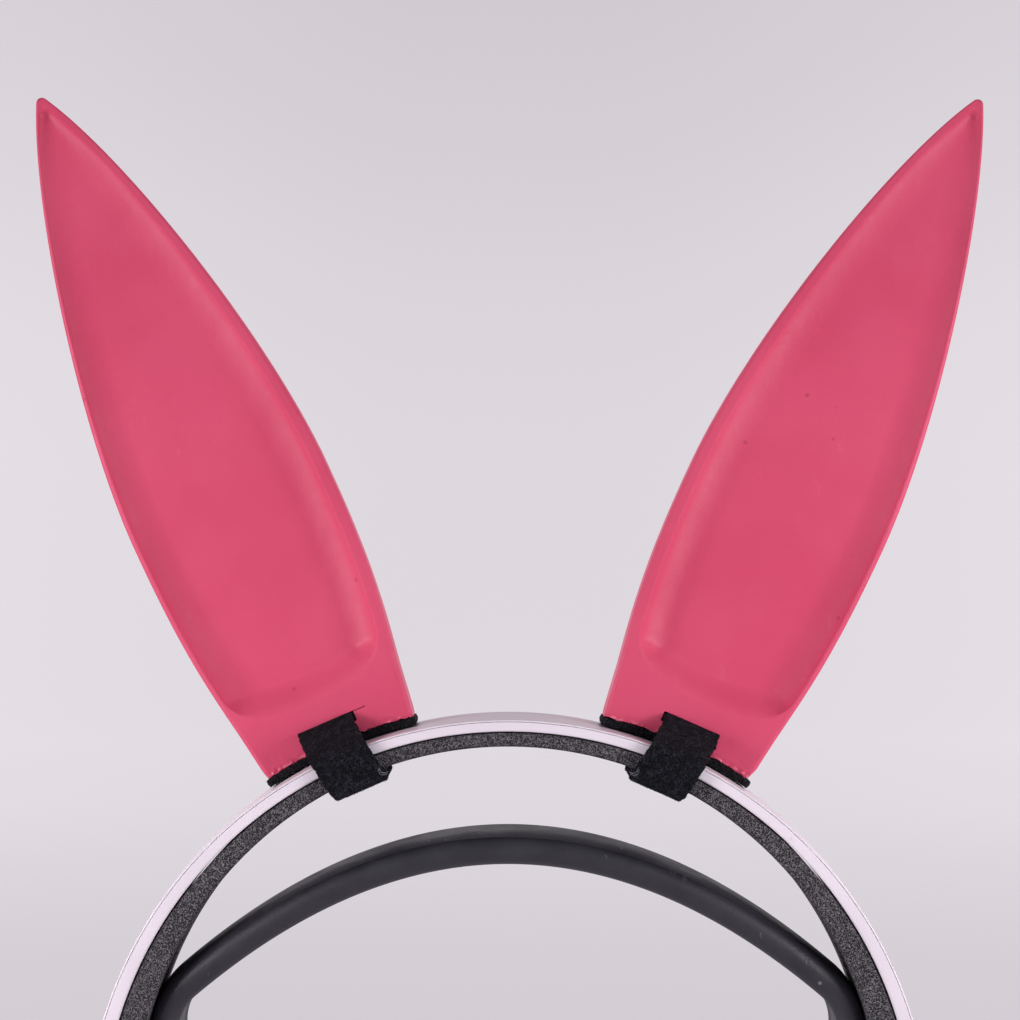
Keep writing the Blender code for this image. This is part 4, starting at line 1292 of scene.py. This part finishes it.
def belt_grid(side, path, closed, thick, width, narrow, waver, seed):
    """A rounded flat section carried along a (y, radius) path.

    narrow scales its width row by row, waver is how far its edges wander, and both faces are a bit lumpy.
    """
    normals = path_normals(path, closed)
    e = 0.42 * thick
    corners = [(-width / 2, -thick / 2, 0, e), (width / 2, -thick / 2, 0, e)]
    corners += [(width / 2, thick / 2, 0, e), (-width / 2, thick / 2, 0, e)]
    outline = with_more_points(rounded_outline(corners, 4), 0.3 * MM)
    y = path[:, :1] + normals[:, :1] * outline[:, 1]
    r = path[:, 1:] + normals[:, 1:] * outline[:, 1]
    x = tape_shift(side, r) + outline[:, 0] * narrow[:, None]
    upright = np.stack([x, y, r], -1)
    edge = (np.abs(outline[:, 0]) > width / 2 - TAPE_EDGE_BAND) * np.sign(outline[:, 0])
    upright[..., 0] += edge * ripple(upright, 1.4 * MM, seed) * waver
    bumps = ripple(upright, 1.9 * MM, seed + 1) * TAPE_LUMPS
    upright[..., 1] += bumps * normals[:, :1]
    upright[..., 2] += bumps * normals[:, 1:]
    return turned(side, upright[..., 0], upright[..., 1], upright[..., 2])


def rounded_path(corners, radius, closed):
    """The path through these corners, with arcs of one radius at each corner but an open path's ends.

    An open path is closed far above its ends first, so that its inner corners can be rounded.
    """
    steps = 9
    far_above = [] if closed else [(0.0, corners[0][1] + 1.0)]
    outline = rounded_outline([(y, r, 0, radius) for y, r in corners + far_above], steps)
    if not closed:
        arcs = outline[steps + 1 : (steps + 1) * (len(corners) - 1)]
        outline = np.vstack([[*corners[0], 0], arcs, [*corners[-1], 0]])
    return with_more_points(outline, PATH_STEP, closed)[:, :2]


def tape_path():
    """Once round: up the front, in at the slot's mouth, through it near its top, down the back and under."""
    slot = FOOT_R + SLOT_UP + SLOT_H - TAPE_T / 2 - TAPE_UNDER_SLOT_TOP
    mouth = EAR_FOOT_DEPTH / 2 + TAPE_MOUTH
    shoulder = PEAK_R - TAPE_SHOULDER
    y = TAPE_MID_Y
    front = [(-y, TAPE_LOW_R), (-y, shoulder), (-mouth, slot)]
    return rounded_path(front + [(mouth, slot), (y, shoulder), (y, TAPE_LOW_R)], TAPE_CORNER, True)


def corner_rounding(path, width):
    """Width share: full, but drawn in along an ellipse quarter down to the fold under the band."""
    near = np.clip(1 - (path[:, 1] - TAPE_LOW_R + TAPE_T / 2) / FOLD_RADIUS, 0, 1)
    drawn = FOLD_RADIUS * (1 - np.sqrt(1 - near**2 * 0.98))
    return 1 - 1.5 * drawn / width


def on_tape_faces(co, normal):
    """The strap's outward faces in front of and behind the ear, where its loops show."""
    outside = np.abs(co[:, 1]) > EAR_FOOT_DEPTH / 2 + 0.8 * MM
    return outside & (np.sign(normal[:, 1]) == np.sign(co[:, 1]))


loop = tape_path()
around = np.linalg.norm(np.diff(np.vstack([loop, loop[:1]]), axis=0), axis=1).sum()
print("a strap is", round(around, 4), "m round")


# %% Straps, their fibres and the hook layers
for word, side in SIDES:
    narrow = corner_rounding(loop, TAPE_W)
    grid = belt_grid(side, loop, True, TAPE_T, TAPE_W, narrow, 0.16 * MM, 61 + side)
    strap = grid_object("loop_tape_" + word, grid, wrap_rows=True, wrap_columns=True)
    place(strap, word + "_ear", "loop", loop_pile, "loop_strap_" + word)
    fuzz = fibres(strap, "loop_fibres_" + word, 9000, 0.42 * MM, 0.04 * MM, 71 + side, on_tape_faces)
    place(fuzz, word + "_ear", "loop", loop_pile)
    low_r = TAPE_LOW_R + TAPE_T / 2 + GAP + HOOK_T / 2
    y = HOOK_IN_Y + HOOK_T / 2
    top_r = SKIN_EDGE_R - 1.2 * MM
    corners = [(-y, top_r), (-y, low_r), (y, low_r), (y, top_r)]
    hook_path = rounded_path(corners, TAPE_CORNER - TAPE_T / 2, False)
    full = np.ones(len(hook_path))
    grid = belt_grid(side, hook_path, False, HOOK_T, HOOK_W, full, 0.04 * MM, 81 + side)
    hook = grid_object("hook_tape_" + word, grid, wrap_columns=True)
    place(hook, word + "_ear", "hook", hook_tape, "hook_layer_" + word)

# %% [markdown]
# The inner lower corner of each strap has sprung open a little: the layer under the fold sticks out and
# curls back, with its pale cut edge showing. It is the same flat section, carried round a small curl that
# lies across the strap, and a thread along its upper edge.

# %% Curled corners
LIP_R = 0.5 * MM
LIP_OUT = -0.2 * MM
LIP_H = 2.6 * MM
LIP_T = 0.5 * MM
LIP_EDGE = 0.1 * MM
LIP_FALL = 0.45
LIP_IN = 0.5 * MM
LIP_BEHIND = 0.35 * MM
LIP_DOWN = 0.2 * MM
THREAD_R = 0.08 * MM
THREAD_APART = 0.35 * MM
THREAD_CURVE = np.array([(-0.7, 3.0), (-0.9, 1.6), (-0.3, 1.1), (0.9, 1.4)]) * MM


def tube(name, path, radius, steps=8):
    """A round thread: rings set across the path's own direction, closed to points at its ends."""
    along = np.gradient(path, axis=0)
    along /= np.linalg.norm(along, axis=1, keepdims=True)
    side_a = np.cross(along, [0.2, 0.9, 0.3])
    side_a /= np.linalg.norm(side_a, axis=1, keepdims=True)
    side_b = np.cross(along, side_a)
    around = np.linspace(0, 2 * math.pi, steps, endpoint=False)[:, None]
    ring = side_a[:, None] * np.cos(around) + side_b[:, None] * np.sin(around)
    size = np.full(len(path), radius)
    size[[0, -1]] = 0
    return grid_object(name, path[:, None] + ring * size[:, None, None], wrap_columns=True)


def lip_curve():
    """(towards the middle, front to back) along the lip: straight out, then an arc turning back."""
    start = np.linspace(-1.6 * MM, LIP_OUT, 8)[:-1]
    angle = np.radians(np.linspace(-90, 120, 22))
    arc = np.column_stack([LIP_OUT + LIP_R * np.cos(angle), LIP_R + LIP_R * np.sin(angle)])
    return np.vstack([np.column_stack([start, 0 * start]), arc])


for word, side in SIDES:
    curve = lip_curve()
    normals = path_normals(curve, False)
    share = np.linspace(0, 1, len(curve))
    tall = LIP_H * (1 - LIP_FALL * share**2)
    corners = [(-LIP_T / 2, 0), (LIP_T / 2, 0), (LIP_T / 2, MM), (-LIP_T / 2, MM)]
    outline = rounded_outline([(across, up, 0, LIP_EDGE) for across, up in corners], 3)
    lip_in = curve[:, :1] + normals[:, :1] * outline[:, 0]
    lip_y = curve[:, 1:] + normals[:, 1:] * outline[:, 0] - TAPE_MID_Y + LIP_BEHIND
    lip_r = TAPE_LOW_R - LIP_DOWN + outline[:, 1] / MM * tall[:, None]
    edge_x = tape_shift(side, TAPE_LOW_R) - side * (TAPE_W / 2 - LIP_IN)
    lip_grid = turned(side, edge_x - side * lip_in, lip_y, lip_r)
    lip = grid_object("strap_lip_" + word, lip_grid, wrap_columns=True)
    place(lip, word + "_ear", "loop", loop_pile)
    for number, apart in enumerate((0.0, THREAD_APART)):
        inwards, up = cubic(THREAD_CURVE, 24).T
        thread_x = edge_x - side * (inwards + apart - 0.1 * MM)
        thread_y = np.full(24, -TAPE_MID_Y - TAPE_T / 2 - 0.05 * MM)
        line = turned(side, thread_x, thread_y, TAPE_LOW_R + up + apart - TAPE_T / 2)
        thread = tube(f"lip_thread_{word}_{number}", line, THREAD_R)
        place(thread, word + "_ear", "loop", edge_thread)

# %% [markdown]
# ## Free ends of the straps
# Behind each ear the strap's end is pressed onto the strap and can be peeled off about its upper edge.
# It is two thin layers, loop outside and hook inside, with rounded corners, and it lifts a little at its
# lower end. A bevelled plate would do for the shape, but stacked outlines can curl and ripple as well.

# %% Tabs
TAB_LEN = 9.0 * MM
TAB_LOOP_T = 0.75 * MM
TAB_HOOK_T = 0.42 * MM
TAB_HOOK_INSET = 0.35 * MM
TAB_CORNERS = (0.3 * MM, 2.0 * MM)
TAB_CURL = 0.5 * MM
CURL_FROM = 0.55


def tab_grid(side, thickness, near, inset, seed):
    """Stacked outlines of a rounded tab, upright, from one face to the other.

    Outlines draw in at both faces as a quarter circle and then shrink evenly to the middle, which fills
    the faces. The curl grows from CURL_FROM of the length to the lower end as a square.
    """
    y0 = TAPE_MID_Y + TAPE_T / 2 + GAP + near
    hinge_x, _, hinge_z = joints["tab_right_peel"]["pos_m"]
    top = math.hypot(hinge_x, hinge_z - ARC_Z)
    half = TAPE_W / 2 - inset
    length = TAB_LEN - inset
    sharp, blunt = TAB_CORNERS
    corners = [(-half, 0, 0, sharp), (-half, -length, 0, blunt)]
    corners += [(half, -length, 0, blunt), (half, 0, 0, sharp)]
    outline = with_more_points(rounded_outline(corners, 8), 0.3 * MM)[:, :2]
    centre = np.array([0, -length / 2])
    edge = 0.4 * thickness
    turn = np.linspace(0, math.pi / 2, 5)
    inset_rows = np.concatenate([edge * (1 - np.sin(turn)), edge * (1 - np.sin(turn[::-1]))])
    y_rows = np.concatenate([edge * (1 - np.cos(turn)), thickness - edge * (1 - np.cos(turn[::-1]))])
    shares = [0.0, 0.25, 0.5, 0.75]
    flat = outline[None] - centre
    reach = np.abs(flat).max((0, 1)).min()
    rings = [(1 - i / reach, y) for i, y in zip(inset_rows, y_rows)]
    rings = [(s, 0.0) for s in shares] + rings + [(s, thickness) for s in reversed(shares)]
    scale = np.array([s for s, _ in rings])[:, None, None]
    depth = np.array([y for _, y in rings])[:, None]
    points = centre + flat * scale
    shift = tape_shift(side, top - TAB_LEN / 2)
    lower = (-points[..., 1] - CURL_FROM * TAB_LEN) / ((1 - CURL_FROM) * TAB_LEN)
    curl = TAB_CURL * np.clip(lower, 0, 1) ** 2
    upright = np.stack([points[..., 0] + shift, y0 + depth + curl, top + points[..., 1]], -1)
    upright[..., 1] += ripple(upright, 2.2 * MM, seed) * 0.04 * MM
    return turned(side, upright[..., 0], upright[..., 1], upright[..., 2])


def on_tab_outside(co, normal):
    return normal[:, 1] > -0.3


for word, side in SIDES:
    grid = tab_grid(side, TAB_LOOP_T, TAB_HOOK_T, 0.0, 91 + side)
    loop_layer = grid_object("tab_loop_" + word, grid, wrap_columns=True)
    place(loop_layer, word + "_tab", "loop", loop_pile, "tab_" + word)
    grid = tab_grid(side, TAB_HOOK_T, 0.0, TAB_HOOK_INSET, 91 + side)
    hook_part = grid_object("tab_hook_" + word, grid, wrap_columns=True)
    place(hook_part, word + "_tab", "hook", hook_tape)
    fuzz = fibres(loop_layer, "tab_fibres_" + word, 2200, 0.42 * MM, 0.04 * MM, 101 + side, on_tab_outside)
    place(fuzz, word + "_tab", "loop", loop_pile)

# %% [markdown]
# ## Stage, light and camera
# The headband stands in a pale lavender-grey studio bowl: a floor that turns up all round, so that every
# view has the same plain background. The bowl glows, as a light tent does, and gives most of the light:
# brighter behind the object than in front of it, a little darker high up. Two small soft lights with a
# narrow beam stand low at the sides and light the white shell and the ears' walls without reaching the
# floor. A weak large one hangs above.

# %% Studio bowl
BOWL_FLAT = 1.7
BOWL_BEND = 0.9
BOWL_WALL = 3.0
BOWL_ROLL = 24
GLOW_BEHIND = (-1.2, 1.2, 0.29, 0.585)
GLOW_HIGH = (0.1, 0.6, 1.0, 0.82)
GLOW_ASIDE = (0.05, 0.5, 1.0, 1.1)
FLOOR_DROP = 0.5 * MM


def bowl_finish():
    """Matt paper whose glow is a product of three slopes: along Y, up Z and out from the middle."""
    made, tree, shader, place_at = new_material("studio_paper", Specular_IOR_Level=0.1)
    tone = mixed(tree, noise(tree, place_at, 0.8, 2.0), (0.30, 0.29, 0.30), (0.34, 0.33, 0.34))
    tree.links.new(tone, shader.inputs["Base Color"])
    shader.inputs["Roughness"].default_value = 0.95
    across = node(tree, "ShaderNodeSeparateXYZ")
    tree.links.new(place_at, across.inputs[0])
    behind = between(tree, across.outputs["Y"], *GLOW_BEHIND)
    high = between(tree, across.outputs["Z"], *GLOW_HIGH)
    aside = between(tree, maths(tree, "ABSOLUTE", across.outputs["X"]), *GLOW_ASIDE)
    share = maths(tree, "MULTIPLY", maths(tree, "MULTIPLY", behind, high), aside)
    glow = mixed(tree, share, (0.0, 0.0, 0.0), (0.98, 0.925, 0.985))
    tree.links.new(glow, shader.inputs["Emission Color"])
    shader.inputs["Emission Strength"].default_value = 1.0
    return made


def bowl_grid(floor_z):
    """A profile turned about Z: flat floor, a quarter circle, then a wall."""
    turn = np.linspace(0, math.pi / 2, BOWL_ROLL)
    r = np.concatenate([[0.0, 0.6, 1.2], BOWL_FLAT + BOWL_BEND * np.sin(turn), [BOWL_FLAT + BOWL_BEND]])
    z = floor_z + np.concatenate([[0.0, 0.0, 0.0], BOWL_BEND * (1 - np.cos(turn)), [BOWL_WALL]])
    r, z = r[:, None], z[:, None]
    around = np.linspace(0, 2 * math.pi, 96, endpoint=False)
    return np.stack([r * np.cos(around), r * np.sin(around), z + 0 * around], -1)


grid = bowl_grid(cad_low.z - FLOOR_DROP)
quads = grid_faces(grid.shape[0], grid.shape[1], False, True)
bowl_mesh = mesh_of("studio_bowl", grid.reshape(-1, 3), quads)
bowl_mesh.shade_smooth()
bowl = object_of("studio_bowl", bowl_mesh)
bowl.data.materials.append(bowl_finish())
print(bowl.name, "floor at z", round(cad_low.z - FLOOR_DROP, 4))

# %% Lights
WARM_WHITE = (1.0, 0.97, 0.98)
WORLD_STRENGTH = 0.25


def soft_light(name, place_at, aim, width, height, watts, spread):
    """A rectangle of light that faces its aim; a spread under 180 degrees narrows its beam."""
    data = bpy.data.lights.new(name, "AREA")
    data.shape = "RECTANGLE"
    data.size = width
    data.size_y = height
    data.energy = watts
    data.spread = math.radians(spread)
    data.color = WARM_WHITE
    obj = object_of(name, data)
    obj.location = place_at
    direction = np.array(aim) - np.array(place_at)
    obj.rotation_euler = mathutils.Vector(direction).to_track_quat("-Z", "Y").to_euler()
    return obj


for word, side in SIDES:
    soft_light(word + "_softbox", (side * 0.46, -0.25, 0.07), (side * 0.04, 0, 0.0), 0.2, 0.18, 0.41, 90)
soft_light("top_softbox", (0, -0.5, 1.3), (0, 0, 0.07), 1.2, 0.8, 0.5, 180)
world = bpy.data.worlds.new("studio_air")
world.use_nodes = True
air = world.node_tree.nodes["Background"].inputs
air["Color"].default_value = (0.93, 0.91, 0.95, 1.0)
air["Strength"].default_value = WORLD_STRENGTH
bpy.context.scene.world = world
bpy.context.scene.view_settings.view_transform = "Standard"
print("lights:", [light.name for light in bpy.data.lights])

# %% [markdown]
# A long lens 0.88 m in front of the headband, level with the lower half of the ears, shows the arch's top
# surface as a thin sliver and keeps both ears alike.

# %% Camera
CAMERA_BACK = 0.88
CAMERA_Z = 0.0734
SENSOR = 36.0
LENS = 141.176
SHIFT_X = 0.00196
SHIFT_Y = 0.01373
camera_data = bpy.data.cameras.new("camera")
camera_data.sensor_width = SENSOR
camera_data.lens = LENS
camera_data.shift_x = SHIFT_X
camera_data.shift_y = SHIFT_Y
camera_data.clip_start = 0.01
camera = object_of("camera", camera_data)
camera.location = (0.0, -CAMERA_BACK, CAMERA_Z)
camera.rotation_euler = (math.pi / 2, 0.0, 0.0)
bpy.context.scene.camera = camera
print("lens", LENS, "mm at", CAMERA_BACK, "m")
